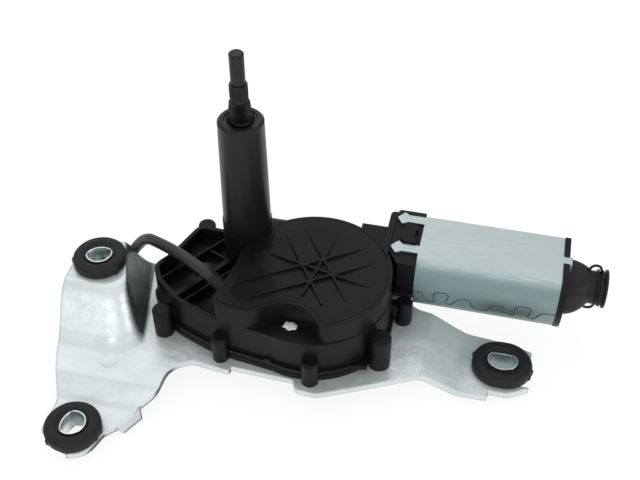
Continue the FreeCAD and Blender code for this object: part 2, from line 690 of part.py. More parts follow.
def grommet(centre, ear_top, stretch, hole):
    top = ear_top + GROMMET_ABOVE
    low = top - GROMMET_TALL
    head = stadium(GROMMET_D / 2, stretch, ear_top + FIT, top, centre)
    head = head.makeChamfer(1.3, rim_edges(head, top)).makeChamfer(0.7, rim_edges(head, ear_top + FIT))
    foot = stadium(GROMMET_FOOT_D / 2, stretch, low, ear_top - SHEET - FIT, centre)
    foot = foot.makeChamfer(0.8, rim_edges(foot, low))
    waist = stadium(GROMMET_WAIST_D / 2 - FIT, stretch, ear_top - SHEET - 1, ear_top + 1, centre)
    return head.fuse(waist).fuse(foot).cut(hole)


def sleeve_span(ear_top):
    """Foot and top of a sleeve, which stands proud of its grommet at both ends."""
    top = ear_top + GROMMET_ABOVE + SLEEVE_PROUD
    return top - GROMMET_TALL - 2 * SLEEVE_PROUD, top


def round_core(centre, ear_top, extra):
    """Core of a round sleeve: its bore, or its outside with the wall added."""
    low, top = sleeve_span(ear_top)
    return cylinder(SLEEVE_BORE_D / 2 + extra, low, top, *centre)


def slot_core(ear_top, extra):
    """Core of the slotted sleeve, with a rounder front than back."""
    low, top = sleeve_span(ear_top)
    half = SLOT_LONG / 2 + extra
    wide = SLOT_WIDE / 2 + extra
    x, y = RIGHT_EAR[0], RIGHT_EAR[1] - SLOT_SET
    points = [(x - half, y - wide, wide * 0.9), (x + half, y - wide, wide * 0.9),
              (x + half, y + wide, 2.2 + extra), (x - half, y + wide, 2.2 + extra)]
    return prism(points, low, top)


# Spindle group

def shaft_sleeve():
    chamfer = 1.0
    foot, top = SLEEVE_FOOT_D / 2, SLEEVE_TOP_D / 2
    inner = TUBE_D / 2 + FIT
    profile = [(inner, 0.0), (foot, 0.0), (foot, SLEEVE_BAND), (top, SLEEVE_TALL - chamfer),
               (top - chamfer, SLEEVE_TALL), (inner, SLEEVE_TALL)]
    return spun(profile)


def bearing_tube():
    return ring(TUBE_D / 2, TUBE_BORE_D / 2, ROOM_TOP, SLEEVE_TALL - 0.6)


def spindle_bush(low):
    return ring(TUBE_BORE_D / 2 - FIT, SPINDLE_D / 2 + RUN, low, low + BUSH_LONG)


def shaft_seal():
    high = SLEEVE_TALL - 1.0
    low = SLEEVE_TALL - 4.4
    return spun([(SPINDLE_D / 2 + RUN, low), (TUBE_BORE_D / 2 - FIT, low), (TUBE_BORE_D / 2 - FIT, high - 0.8),
                 (SPINDLE_D / 2 + 0.35, high), (SPINDLE_D / 2 + RUN, high - 0.6)])


def wiper_spindle():
    cone = SLEEVE_TALL + 0.2
    cone_top = SLEEVE_TALL + CONE_TALL
    tip = THREAD_FOOT + THREAD_LONG
    end = tip + TIP_TALL
    step = ROOM_TOP - 1.0
    profile = [(0, COVER_TOP + AIR), (SPINDLE_FOOT_D / 2, COVER_TOP + AIR), (SPINDLE_FOOT_D / 2, step),
               (SPINDLE_D / 2, step), (SPINDLE_D / 2, cone - 0.3), (CONE_FOOT_D / 2, cone),
               (CONE_TOP_D / 2, cone_top), (NECK_D / 2, cone_top + 0.3), (NECK_D / 2, THREAD_FOOT - 0.3),
               (THREAD_D / 2, THREAD_FOOT), (THREAD_D / 2, tip), (TIP_D / 2, tip + 0.5), (TIP_D / 2, end - 0.5),
               (TIP_D / 2 - 0.5, end), (0, end)]
    body = spun(profile)
    flat_high = end - 0.9
    flat = block(-6, 6, -8, -TIP_D / 2 + TIP_FLAT_DEEP, flat_high - TIP_FLAT_LONG, flat_high)
    flat.rotate(V(0, 0, 0), UP, 13.0)
    return body.cut(flat)


def spindle_washer():
    return ring(TUBE_D / 2 + 1.0, SPINDLE_D / 2 + 0.1, ROOM_TOP - 0.9, ROOM_TOP - 0.1)


def spindle_thrust_pad():
    return cylinder(SPINDLE_FOOT_D / 2 + 1.2 - FIT, PLATE_TOP + 1.2, COVER_TOP + 0.2)


# Gears

def involute_flank(base_r, root_r, tip_r, steps=4):
    """Points of one involute flank as (radius, angle) from where it leaves the base circle."""
    start = max(base_r, root_r)
    flank = [(root_r, 0.0)] if root_r < base_r else []
    for i in range(steps + 1):
        r = start + (tip_r - start) * i / steps
        roll = math.sqrt(max(r * r / (base_r * base_r) - 1.0, 0.0))
        flank.append((r, roll - math.atan(roll)))
    return flank


def tooth_points(teeth, tip_r, root_r, slack):
    """Outline of one tooth about angle 0, from its right root to its left root."""
    pitch_r = GEAR_MODULE * teeth / 2
    pressure = math.radians(PRESSURE_DEG)
    base_r = pitch_r * math.cos(pressure)
    half = (math.pi / (2 * teeth)) + math.tan(pressure) - pressure - slack / (2 * pitch_r)
    flank = involute_flank(base_r, root_r, tip_r)
    right = [(r, a - half) for r, a in flank]
    left = [(r, half - a) for r, a in reversed(flank)]
    return right + left


def gear_points(teeth, tip_r, root_r, slack, phase, first=0, count=None):
    pts = []
    for i in range(first, first + (teeth if count is None else count)):
        middle = phase + 2 * math.pi * i / teeth
        for r, a in tooth_points(teeth, tip_r, root_r, slack):
            pts.append(V(r * math.cos(middle + a), r * math.sin(middle + a), 0))
    return pts


def drive_pinion():
    """Pinion on the spindle, with a gap facing the sector."""
    pitch_r = PINION_R
    to_sector = math.radians(SECTOR_AXIS_DEG)
    phase = to_sector + math.pi / PINION_TEETH
    pts = gear_points(PINION_TEETH, pitch_r + 0.9 * GEAR_MODULE, pitch_r - 1.2 * GEAR_MODULE, BACKLASH, phase)
    body = face_of(pts).extrude(V(0, 0, PINION_THICK)).translated(V(0, 0, GEAR_FOOT))
    return body.cut(cylinder(SPINDLE_FOOT_D / 2 + FIT, -50, 0))


def toothed_sector():
    """Bell crank: toothed arc towards the spindle, arm towards the connecting rod."""
    to_pinion = math.radians(SECTOR_AXIS_DEG + 180)
    rest_turn = math.radians(-SECTOR_SWING_DEG / 2)
    step = 2 * math.pi / SECTOR_TEETH
    tip_r = SECTOR_R + 0.9 * GEAR_MODULE
    root_r = SECTOR_R - 1.2 * GEAR_MODULE
    phase = to_pinion + step * round(rest_turn / step)
    side = SECTOR_SIDE_TEETH
    pts = gear_points(SECTOR_TEETH, tip_r, root_r, BACKLASH, phase, -side, 2 * side + 1)
    hub = PIVOT_PIN_D / 2 + 3.4
    fan = face_of(pts + [V(0, 0, 0)]).extrude(V(0, 0, SECTOR_THICK))
    fan = fan.fuse(Part.makeCylinder(hub, SECTOR_THICK))
    reach = V(SECTOR_ARM, 0, 0)
    arm = prism([(0, -4.2, 0), (SECTOR_ARM, -EYE_R + 0.6, 0), (SECTOR_ARM, EYE_R - 0.6, 0), (0, 4.2, 0)],
                0, SECTOR_THICK)
    arm = arm.fuse(Part.makeCylinder(EYE_R, SECTOR_THICK, reach))
    arm = arm.cut(Part.makeCylinder(ROD_PIN_D / 2 + FIT, SECTOR_THICK * 2, V(SECTOR_ARM, 0, -1)))
    arm.rotate(V(0, 0, 0), UP, ARM_REST_DEG)
    body = fan.fuse(arm).cut(Part.makeCylinder(PIVOT_PIN_D / 2 + RUN, SECTOR_THICK * 2, V(0, 0, -1)))
    return body.removeSplitter().translated(V(SECTOR_X, SECTOR_Y, GEAR_FOOT))


def sector_pivot_pin():
    return cylinder(PIVOT_PIN_D / 2, COVER_TOP, TRAY_FLOOR + 2.0, SECTOR_X, SECTOR_Y)


def rod_pin():
    """Rivet pressed in the arm; its head keeps the rod on."""
    x, y = REST_PIN
    shank = cylinder(ROD_PIN_D / 2, GEAR_FOOT, ROD_TOP + 0.1, x, y)
    head = cylinder(ROD_PIN_D / 2 + 1.1, ROD_TOP + 0.1, ROD_TOP + 0.8, x, y)
    return shank.fuse(head)


def connecting_rod():
    low = ROD_TOP - ROD_THICK
    body = prism([(0, -ROD_WIDTH / 2, 0), (ROD_LONG, -ROD_WIDTH / 2, 0), (ROD_LONG, ROD_WIDTH / 2, 0),
                  (0, ROD_WIDTH / 2, 0)], low, ROD_TOP)
    waist = prism([(9, -1.6, 1.5), (ROD_LONG - 9, -1.6, 1.5), (ROD_LONG - 9, 1.6, 1.5), (9, 1.6, 1.5)],
                  ROD_TOP - 0.8, ROD_TOP + 1)
    eyes = [cylinder(EYE_R, low, ROD_TOP, 0, 0), cylinder(EYE_R + 0.6, low, ROD_TOP, ROD_LONG, 0)]
    body = joined([body] + eyes).cut(waist)
    body = body.cut(cylinder(ROD_PIN_D / 2 + RUN, -50, 0)).cut(cylinder(CRANK_PIN_D / 2 + RUN, -50, 0, ROD_LONG, 0))
    angle = math.degrees(math.atan2(CRANK_Y - REST_PIN[1], CRANK_X - REST_PIN[0]))
    body = body.removeSplitter()
    body.rotate(V(0, 0, 0), UP, angle)
    return body.translated(V(REST_PIN[0], REST_PIN[1], 0))


def worm_wheel():
    """Wheel with slanting teeth, a thin web and a crank boss underneath."""
    tip_r = WHEEL_R + WHEEL_TOOTH_ADD
    root_r = WHEEL_R - WHEEL_TOOTH_DED
    lead_slope = WHEEL_PITCH / (2 * math.pi * WORM_R)
    twist = math.degrees(WHEEL_THICK / 2 * lead_slope / WHEEL_R)
    step = 2 * math.pi / WHEEL_TEETH
    phase = math.pi / 2

    def section(height, turn):
        pts = []
        for i in range(WHEEL_TEETH):
            middle = phase + i * step + math.radians(turn)
            for r, share in ((root_r, -0.34), (tip_r, -0.155), (tip_r, 0.155), (root_r, 0.34)):
                angle = middle + share * step
                pts.append(V(r * math.cos(angle), r * math.sin(angle), height))
        return Part.makePolygon(pts + [pts[0]])

    low, high = WHEEL_FOOT, WHEEL_FOOT + WHEEL_THICK
    body = Part.makeLoft([section(low, -twist), section(high, twist)], True, True)
    dish_ring = ring(root_r - 3.0, 9.5, high - 2.0, high + 1)
    under_ring = ring(root_r - 3.0, CRANK_R + CRANK_PIN_D / 2 + 2.4, low - 1, low + 2.2)
    body = body.cut(dish_ring).cut(under_ring)
    body = body.cut(cylinder(AXLE_D / 2 + RUN, low - 1, high + 1))
    body = body.cut(cylinder(CRANK_PIN_D / 2 + FIT, low - 1, high - 2.6, CRANK_X - WHEEL_X, CRANK_Y - WHEEL_Y))
    return body.translated(V(WHEEL_X, WHEEL_Y, 0))


def wheel_axle():
    return cylinder(AXLE_D / 2, WHEEL_FOOT - 1.6, WEB_TOP + 1.6, WHEEL_X, WHEEL_Y)


def axle_clip():
    clip = ring(AXLE_D / 2 + 1.3, AXLE_D / 2 + FIT, WHEEL_FOOT - 1.2, WHEEL_FOOT - 0.4, WHEEL_X, WHEEL_Y)
    slot = block(WHEEL_X - 1.6, WHEEL_X + 1.6, WHEEL_Y, WHEEL_Y + 6, WHEEL_FOOT - 3, WHEEL_FOOT)
    return clip.cut(slot)


def crank_pin():
    return cylinder(CRANK_PIN_D / 2, ROD_TOP + AIR, WHEEL_FOOT + WHEEL_THICK - 2.7, CRANK_X, CRANK_Y)


def contact_disc():
    """Thin contact track let into the top of the wheel."""
    high = WHEEL_FOOT + WHEEL_THICK
    return ring(WHEEL_R - 5.2, WHEEL_R - 10.5, high - 2.0, high - 1.5, WHEEL_X, WHEEL_Y)


# Armature

def armature_shaft():
    thin, r = WORM_SHAFT_D / 2, SHAFT_D / 2
    step = WHEEL_X + WORM_LONG / 2 + 2.0
    return spun_along([(0, SHAFT_START), (thin, SHAFT_START), (thin, step), (r, step),
                       (r, SHAFT_END - 0.5), (r - 0.5, SHAFT_END), (0, SHAFT_END)])


def worm():
    """Single start worm: core tube and a helical ridge."""
    root = WORM_R - 1.15
    tip = WORM_R + 0.85
    long = WORM_LONG
    start = WHEEL_X - long / 2
    helix = Part.makeHelix(WHEEL_PITCH, long, root)
    tooth_foot, tooth_tip = WHEEL_PITCH * 0.29, WHEEL_PITCH * 0.13
    section = Part.makePolygon([V(root - 0.3, 0, -tooth_foot), V(tip, 0, -tooth_tip), V(tip, 0, tooth_tip),
                                V(root - 0.3, 0, tooth_foot), V(root - 0.3, 0, -tooth_foot)])
    ridge = Part.Wire(helix.Edges).makePipeShell([section], True, True)
    core = Part.makeCylinder(root, long + 4.0, V(0, 0, -2.0))
    body = core.fuse(ridge).cut(Part.makeCylinder(WORM_SHAFT_D / 2 + FIT, long + 20, V(0, 0, -10)))
    body.rotate(V(0, 0, 0), V(0, 1, 0), 90)
    body.rotate(V(0, 0, 0), ALONG, WORM_PHASE_DEG)
    return body.translated(V(start, MOTOR_Y, MOTOR_Z))


def armature_core():
    """Laminated stack with ten slots."""
    body = barrel_ring(ROTOR_R, SHAFT_D / 2 + FIT, CORE_START, CORE_START + CORE_LONG)
    slots = []
    for i in range(SLOT_COUNT):
        throat = block(CORE_START - 1, CORE_START + CORE_LONG + 1, -0.9, 0.9, ROTOR_R - 3, ROTOR_R + 1)
        room = Part.makeCylinder(1.9, CORE_LONG + 2, V(CORE_START - 1, 0, ROTOR_R - 3.6), ALONG)
        slot = throat.fuse(room)
        slot.rotate(V(0, 0, 0), ALONG, i * 360.0 / SLOT_COUNT)
        slots.append(slot.translated(V(0, MOTOR_Y, MOTOR_Z)))
    return without(body, slots)


def armature_windings():
    """Copper overhang at both ends of the stack."""
    inner, outer, long = SHAFT_D / 2 + 0.6, ROTOR_R - 1.4, 5.0
    left = spun_along([(inner, CORE_START - long), (outer - 1.6, CORE_START - long), (outer, CORE_START - 1.2),
                       (outer, CORE_START), (inner, CORE_START)])
    end = CORE_START + CORE_LONG
    right = spun_along([(inner, end), (outer, end), (outer, end + 1.2), (outer - 1.6, end + long), (inner, end + long)])
    return Part.makeCompound([left, right])


def commutator():
    end = COMMUTATOR_START + COMMUTATOR_LONG
    riser = COMMUTATOR_R + 0.9
    body = spun_along([(SHAFT_D / 2 + FIT, COMMUTATOR_START), (COMMUTATOR_R, COMMUTATOR_START),
                       (COMMUTATOR_R, end - 1.4), (riser, end - 1.4), (riser, end), (SHAFT_D / 2 + FIT, end)])
    slits = []
    for i in range(SLOT_COUNT):
        slit = block(COMMUTATOR_START - 1, end + 1, -0.25, 0.25, COMMUTATOR_R - 0.9, riser + 1)
        slit.rotate(V(0, 0, 0), ALONG, (i + 0.5) * 360.0 / SLOT_COUNT)
        slits.append(slit.translated(V(0, MOTOR_Y, MOTOR_Z)))
    return without(body, slits)


# Motor shell and ends

def can_wire(x, grow):
    """Double-D outline: flat top and bottom, rounded sides."""
    w, h, side = CAN_HALF_FLAT, CAN_HALF_THICK + grow, CAN_HALF_FLAT + CAN_BULGE + grow
    def at(y, z):
        return V(x, MOTOR_Y + y, MOTOR_Z + z)
    return Part.Wire([Part.LineSegment(at(-w, h), at(w, h)).toShape(),
                      Part.Arc(at(w, h), at(side, 0), at(w, -h)).toShape(),
                      Part.LineSegment(at(w, -h), at(-w, -h)).toShape(),
                      Part.Arc(at(-w, -h), at(-side, 0), at(-w, h)).toShape()])


def can_prism(grow, start, end):
    return Part.Face(can_wire(start, grow)).extrude(V(end - start, 0, 0))


def motor_can():
    """Rolled steel tube with arrow-headed crimp tabs over the brush holder."""
    body = can_prism(0.0, CAN_START, CAN_END).cut(can_prism(-CAN_WALL, CAN_START - 1, CAN_END + 1))
    top = MOTOR_Z + CAN_HALF_THICK
    tip, root = HOLDER_START + 0.2, CAN_START + 0.5
    pieces = [body]
    for middle in CRIMP_MIDDLES:
        near, far = middle - CRIMP_NECK / 2, middle + CRIMP_NECK / 2
        arrow = [(root, near, 0), (root, far, 0), (tip + 5.2, far, 0.5), (tip + 3.2, middle + CRIMP_HEAD / 2, 0.8),
                 (tip, middle, 0.8), (tip + 2.8, middle - CRIMP_HEAD / 2, 0.8), (tip + 5.4, near, 0.5)]
        pieces.append(prism(arrow, top - TAB_THICK, top))
    past = CAN_END + END_PLATE_THICK
    finger = block(CAN_END - 1, past + TAB_THICK, END_TAB_Y, END_TAB_Y + END_TAB_WIDE, top - TAB_THICK, top)
    lip = block(past + FIT, past + TAB_THICK, END_TAB_Y, END_TAB_Y + END_TAB_WIDE / 2, top - 4.2, top - TAB_THICK)
    return joined(pieces + [finger, lip]).removeSplitter()


def brush_holder():
    """Moulded block that carries brushes and chokes, with a latch pad on top."""
    top = MOTOR_Z + CAN_HALF_THICK - TAB_THICK - FIT
    foot = MOTOR_Z - CAN_HALF_THICK + 1.0
    front, back = MOTOR_Y - HOLDER_HALF, MOTOR_Y + HOLDER_HALF
    block_solid = prism([(HOLDER_START + 4.8, front, 1.0), (CAN_START, front, 0.5), (CAN_START, back, 0.5),
                         (HOLDER_START, back, 1.5), (HOLDER_START, front + 7.5, 1.0)], foot, top)
    spigot = can_prism(-CAN_WALL - FIT, CAN_START, CAN_START + 3.0)
    pad_foot, pad_end = HOLDER_START + 4.3, CAN_START - 2.0
    pad = prism([(pad_foot + 1.4, PAD_NEAR, 0), (pad_end, PAD_NEAR, 0.5), (pad_end, PAD_FAR - 1.6, 0),
                 (pad_end - 1.0, PAD_FAR, 0), (pad_foot + 0.8, PAD_FAR, 0), (pad_foot, PAD_FAR - 5.0, 0),
                 (pad_foot, PAD_NEAR + 1.8, 0)], top, top + PAD_TALL)
    pad = pad.cut(block(pad_end - 1.1, pad_end + 1, PAD_NEAR + 3.6, PAD_NEAR + 8.8, top + 0.3, top + PAD_TALL + 1))
    undercut = prism([(-25.5, front - 0.5, 0), (foot - 1, front - 0.5, 0), (foot - 1, front + 5.5, 0)],
                     HOLDER_START, CAN_START)
    undercut.rotate(V(0, 0, 0), V(0, 1, 0), -90)
    block_solid = block_solid.cut(undercut.mirror(V(0, 0, 0), ALONG))
    body = joined([block_solid, spigot, pad])
    room = barrel(COMMUTATOR_R + 1.8, HOLDER_START + 1.6, CAN_START + 4)
    shaft_hole = barrel(SHAFT_D / 2 + 1.0, HOLDER_START - 1, HOLDER_START + 4)
    slots = [block(BRUSH_START - FIT, BRUSH_START + BRUSH_WIDE + FIT, MOTOR_Y - BRUSH_REACH, MOTOR_Y + BRUSH_REACH,
                   MOTOR_Z - BRUSH_WIDE / 2 - FIT, MOTOR_Z + BRUSH_WIDE / 2 + FIT)]
    slots += choke_places(CHOKE_R + FIT, CHOKE_LONG + 0.4)
    return without(body, [room, shaft_hole] + slots).removeSplitter()


def brush(side):
    near = COMMUTATOR_R + 0.25
    y0, y1 = sorted((MOTOR_Y + side * near, MOTOR_Y + side * (near + BRUSH_LONG)))
    half = BRUSH_WIDE / 2
    body = block(BRUSH_START, BRUSH_START + BRUSH_WIDE, y0, y1, MOTOR_Z - half, MOTOR_Z + half)
    return body.cut(barrel(COMMUTATOR_R + 0.2, BRUSH_START - 1, BRUSH_START + BRUSH_WIDE + 1))


def carbon_brushes():
    return Part.makeCompound([brush(-1), brush(1)])


def brush_springs():
    parts = []
    near = COMMUTATOR_R + 0.25 + BRUSH_LONG + 0.1
    for side in (-1, 1):
        start = V(BRUSH_START + BRUSH_WIDE / 2, MOTOR_Y + side * near, MOTOR_Z)
        parts.append(Part.makeCylinder(1.7, BRUSH_REACH - 0.1 - near, start, V(0, side, 0)))
    return Part.makeCompound(parts)


def choke_places(radius, long):
    return [Part.makeCylinder(radius, long, V(HOLDER_START + 4.2, MOTOR_Y + side * 12.5, MOTOR_Z + 8.0), ALONG)
            for side in (-1, 1)]


def choke_coils():
    return Part.makeCompound(choke_places(CHOKE_R, CHOKE_LONG))


def magnets():
    """Two curved ferrite magnets in the rounded sides of the can."""
    start, end = CORE_START - 2, CORE_START + CORE_LONG + 2
    inner = ROTOR_R + MAGNET_GAP
    shell = can_prism(-CAN_WALL - 0.05, start, end).cut(barrel(inner, start - 1, end + 1))
    parts = []
    for side in (-1, 1):
        near, far = sorted((MOTOR_Y + side * 8.0, MOTOR_Y + side * 25.0))
        parts.append(shell.common(block(start - 1, end + 1, near, far, MOTOR_Z - 10.5, MOTOR_Z + 10.5)))
    return Part.makeCompound(parts)


def motor_end_plate():
    body = can_prism(0.5, CAN_END, CAN_END + END_PLATE_THICK)
    spigot = can_prism(-CAN_WALL - 0.1, CAN_END - 3.0, CAN_END).cut(can_prism(-CAN_WALL - 2.0, CAN_END - 4, CAN_END))
    hub = barrel(7.5, CAN_END - 8.0, CAN_END)
    body = joined([body, spigot, hub])
    top = MOTOR_Z + CAN_HALF_THICK
    notch = block(CAN_END - 1, BOOT_START + 1, END_TAB_Y - FIT, END_TAB_Y + END_TAB_WIDE + FIT,
                  top - TAB_THICK - FIT, top + 1)
    return body.cut(barrel(5.5 + FIT, CAN_END - 9.0, CAN_END - 0.5)).cut(notch).removeSplitter()


def rear_bearing():
    return barrel_ring(5.5, SHAFT_D / 2 + RUN, CAN_END - 8.0, CAN_END - 2.4)


def end_boot():
    """Rubber boot: rounded seat drawn in to a round neck with a double flange."""
    seat = (BOOT_HALF_WIDE, BOOT_HALF_TALL, BOOT_CORNER_R, BOOT_DROP)
    neck = (BOOT_NECK_R, BOOT_NECK_R, BOOT_NECK_R - 0.05, 0.0)
    wires = []
    for along, share in blend((0.0, 0.0), (0.62, 0.08), (1.0, 1.0), 7):
        wide, tall, corner, drop = (a + (b - a) * share for a, b in zip(seat, neck))
        wire = corner_wire([(-tall, -wide, corner), (tall, -wide, corner), (tall, wide, corner), (-tall, wide, corner)])
        place = V(BOOT_START + BOOT_LONG * along, MOTOR_Y, MOTOR_Z - drop)
        wire.Placement = FreeCAD.Placement(place, FreeCAD.Rotation(V(0, 1, 0), 90))
        wires.append(wire)
    shell = Part.makeLoft(wires, True, True)
    groove = BOOT_DISC_R - 1.6
    tail = spun_along([(0, BOOT_NECK_X - 0.5), (BOOT_NECK_R, BOOT_NECK_X - 0.5), (BOOT_NECK_R, BOOT_END - 3.4),
                       (BOOT_DISC_R - 0.5, BOOT_END - 3.2), (BOOT_DISC_R - 0.5, BOOT_END - 2.2),
                       (groove, BOOT_END - 2.0), (groove, BOOT_END - 1.4), (BOOT_DISC_R, BOOT_END - 1.2),
                       (BOOT_DISC_R, BOOT_END - 0.2), (BOOT_DISC_R - 1.0, BOOT_END), (4.4, BOOT_END),
                       (4.0, BOOT_END - 3.0), (0, BOOT_END - 3.0)])
    return shell.fuse(tail).removeSplitter()


def boot_clip():
    """Flat spring band on the neck of the boot with two grip loops."""
    start, end = BOOT_END - 5.2, BOOT_END - 4.0
    inner, outer = BOOT_NECK_R + FIT, BOOT_NECK_R + 0.7
    loop_r = 2.3
    pieces = [barrel_ring(outer, inner, start, end)]
    for angle in (25.0, 205.0):
        loop = Part.makeCylinder(loop_r, end - start, V(start, 0, outer + loop_r - 0.3), ALONG)
        loop.rotate(V(0, 0, 0), ALONG, angle)
        hole = Part.makeCylinder(loop_r - 0.6, 10, V(start - 5, 0, outer + loop_r - 0.3), ALONG)
        hole.rotate(V(0, 0, 0), ALONG, angle)
        pieces.append(loop.cut(hole).translated(V(0, MOTOR_Y, MOTOR_Z)))
    return joined(pieces)


# Small bearings, seals and board

def worm_end_bush():
    return barrel_ring(TUNNEL_R - FIT, WORM_SHAFT_D / 2 + RUN, TUNNEL_START + 2.4, TUNNEL_START + 8.7)


def thrust_ball():
    return Part.makeSphere(BALL_R, V(TUNNEL_START + BALL_R + 0.05, MOTOR_Y, MOTOR_Z))


def neck_bush():
    return barrel_ring(TUNNEL_R - FIT, SHAFT_D / 2 + RUN, NECK_END - 9.0, NECK_END - 2.0)


def cover_seal():
    """Flat seal under the rim of the lid."""
    high = LID_TOP - LID_THICK
    body = offset_prism(LID_FACE, -LID_GAP, high - COVER_SEAL_THICK, high)
    return body.cut(offset_prism(LID_FACE, -LID_SEAT, high - 1, high + 1))


def circuit_board():
    low = WEB_TOP + 1.0
    face = offset_prism(LID_FACE, -LID_SEAT - 1.2, low, low + 1.4)
    face = face.common(block(8, 90, -60, MOTOR_Y - TUNNEL_R - 4.0, -20, 0))
    return face.cut(cylinder(AXLE_D / 2 + 0.6, -20, 0, WHEEL_X, WHEEL_Y))


def wiring_path():
    """Route of the lead, from the gland down to the connector under the left arm."""
    return [V(*GLAND_AT), V(*GLAND_AT) + V(*LEAD_HEADING) * 11.5, V(-20.5, -22.4, -12.0), V(-31.0, -15.6, -13.7),
            V(-41.0, -9.4, -16.5), V(-50.2, -3.2, -20.4), V(-57.5, -1.2, -29.5), V(-63.5, -9.5, -38.8),
            V(-66.5, -24.0, -44.8), V(-66.8, -38.0, -47.8),
            V(-65.9, CONNECTOR_AT[1] + CONNECTOR_SIZE[1] / 2 - LEAD_IN, -48.6)]


def tangent_wire(points):
    """Straight runs joined by arcs as large as both runs allow."""
    edges, last = [], points[0]
    for i in range(1, len(points) - 1):
        back = points[i - 1] - points[i]
        ahead = points[i + 1] - points[i]
        half_turn = (math.pi - back.getAngle(ahead)) / 2
        reach = 0.45 * min(back.Length, ahead.Length)
        radius = reach / math.tan(half_turn)
        start = points[i] + back.normalize() * reach
        end = points[i] + ahead.normalize() * reach
        bisector = (back + ahead).normalize()
        middle = points[i] + bisector * (radius / math.cos(half_turn) - radius)
        print("lead bend %d radius %.1f" % (i, radius))
        edges.append(Part.LineSegment(last, start).toShape())
        edges.append(Part.Arc(start, middle, end).toShape())
        last = end
    edges.append(Part.LineSegment(last, points[-1]).toShape())
    return Part.Wire(edges)


def wiring_lead():
    points = wiring_path()
    path = tangent_wire(points)
    heading = points[1] - points[0]
    circle = Part.Wire([Part.makeCircle(LEAD_D / 2, points[0], heading)])
    tube = path.makePipeShell([circle], True, False)
    expected = math.pi * LEAD_D * LEAD_D / 4 * path.Length
    print("lead length %.1f volume ratio %.4f" % (path.Length, tube.Volume / expected))
    return tube


def lead_gland():
    start, heading = V(*GLAND_AT), V(*LEAD_HEADING)
    return Part.makeCylinder(LEAD_D / 2 + GLAND_WALL, 3.6, start, heading * -1)


def lead_connector():
    x, y = CONNECTOR_AT
    long, wide, tall = CONNECTOR_SIZE
    top = PLATE_TOP - SHEET - 2 * AIR
    body = prism([(x - long / 2, y - wide / 2, 1.5), (x + long / 2, y - wide / 2, 1.5),
                  (x + long / 2, y + wide / 2, 1.5), (x - long / 2, y + wide / 2, 1.5)], top - tall, top)
    end, before = wiring_path()[-1], wiring_path()[-2]
    heading = (end - before).normalize()
    return body.cut(Part.makeCylinder(LEAD_D / 2 + FIT, LEAD_IN + 1.0 + LEAD_D, end - heading * (LEAD_IN + LEAD_D), heading))


def bracket_screws():
    parts = []
    head_top = PLATE_TOP - SHEET
    for x, y in housing_bolt_places():
        shank = cylinder(SCREW_D / 2, head_top, PLATE_TOP + PILOT_LONG - 0.5, x, y)
        head = spun([(0, head_top - SCREW_HEAD_TALL), (SCREW_HEAD_D / 2 - 0.8, head_top - SCREW_HEAD_TALL),
                     (SCREW_HEAD_D / 2, head_top - SCREW_HEAD_TALL + 0.9), (SCREW_HEAD_D / 2, head_top),
                     (0, head_top)], x, y)
        parts.append(shank.fuse(head))
    return Part.makeCompound(parts)


NODES = {
    "gear_housing": gear_housing,
    "gear_cover": gear_cover,
    "cover_seal": cover_seal,
    "base_seal": base_seal,
    "bottom_cover": bottom_cover,
    "mounting_bracket": mounting_bracket,
    "bracket_screws": bracket_screws,
    "shaft_sleeve": shaft_sleeve,
    "bearing_tube": bearing_tube,
    "shaft_seal": shaft_seal,
    "wiper_spindle": wiper_spindle,
    "spindle_washer": spindle_washer,
    "spindle_thrust_pad": spindle_thrust_pad,
    "drive_pinion": drive_pinion,
    "toothed_sector": toothed_sector,
    "sector_pivot_pin": sector_pivot_pin,
    "rod_pin": rod_pin,
    "connecting_rod": connecting_rod,
    "worm_wheel": worm_wheel,
    "wheel_axle": wheel_axle,
    "axle_clip": axle_clip,
    "crank_pin": crank_pin,
    "contact_disc": contact_disc,
    "circuit_board": circuit_board,
    "armature_shaft": armature_shaft,
    "worm": worm,
    "armature_core": armature_core,
    "armature_windings": armature_windings,
    "commutator": commutator,
    "worm_end_bush": worm_end_bush,
    "thrust_ball": thrust_ball,
    "neck_bush": neck_bush,
    "rear_bearing": rear_bearing,
    "motor_can": motor_can,
    "magnets": magnets,
    "brush_holder": brush_holder,
    "carbon_brushes": carbon_brushes,
    "brush_springs": brush_springs,
    "choke_coils": choke_coils,
    "motor_end_plate": motor_end_plate,
    "end_boot": end_boot,
    "boot_clip": boot_clip,
    "wiring_lead": wiring_lead,
    "lead_gland": lead_gland,
    "lead_connector": lead_connector,
}


def main():
    os.makedirs("parts", exist_ok=True)
    shapes = {name: make() for name, make in NODES.items()}
    shapes["upper_bush"] = spindle_bush(SLEEVE_TALL - 5.0 - BUSH_LONG)
    shapes["lower_bush"] = spindle_bush(ROOM_TOP)
    round_ears = {"back_left": (BACK_EAR, HIGH_EAR), "front_left": (FRONT_EAR, LOW_EAR)}
    for name, (centre, ear_top) in round_ears.items():
        inner, outer, pocket = (round_core(centre, ear_top, grow) for grow in (0.0, SLEEVE_WALL, SLEEVE_WALL + FIT))
        shapes["sleeve_" + name] = outer.cut(inner)
        shapes["grommet_" + name] = grommet(centre, ear_top, 0.0, pocket)
    inner, outer, pocket = (slot_core(LOW_EAR, grow) for grow in (0.0, SLEEVE_WALL, SLEEVE_WALL + FIT))
    shapes["sleeve_right"] = outer.cut(inner)
    shapes["grommet_right"] = grommet(RIGHT_EAR, LOW_EAR, RIGHT_STRETCH, pocket)
    for name, shape in shapes.items():
        solids = shape.Solids
        print("%-20s solids %d volume %.1f valid %s" % (name, len(solids), shape.Volume, shape.isValid()))
        shape.exportStep("parts/%s.step" % name)


main()
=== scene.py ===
import math
import bmesh
import bpy
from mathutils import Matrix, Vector, noise


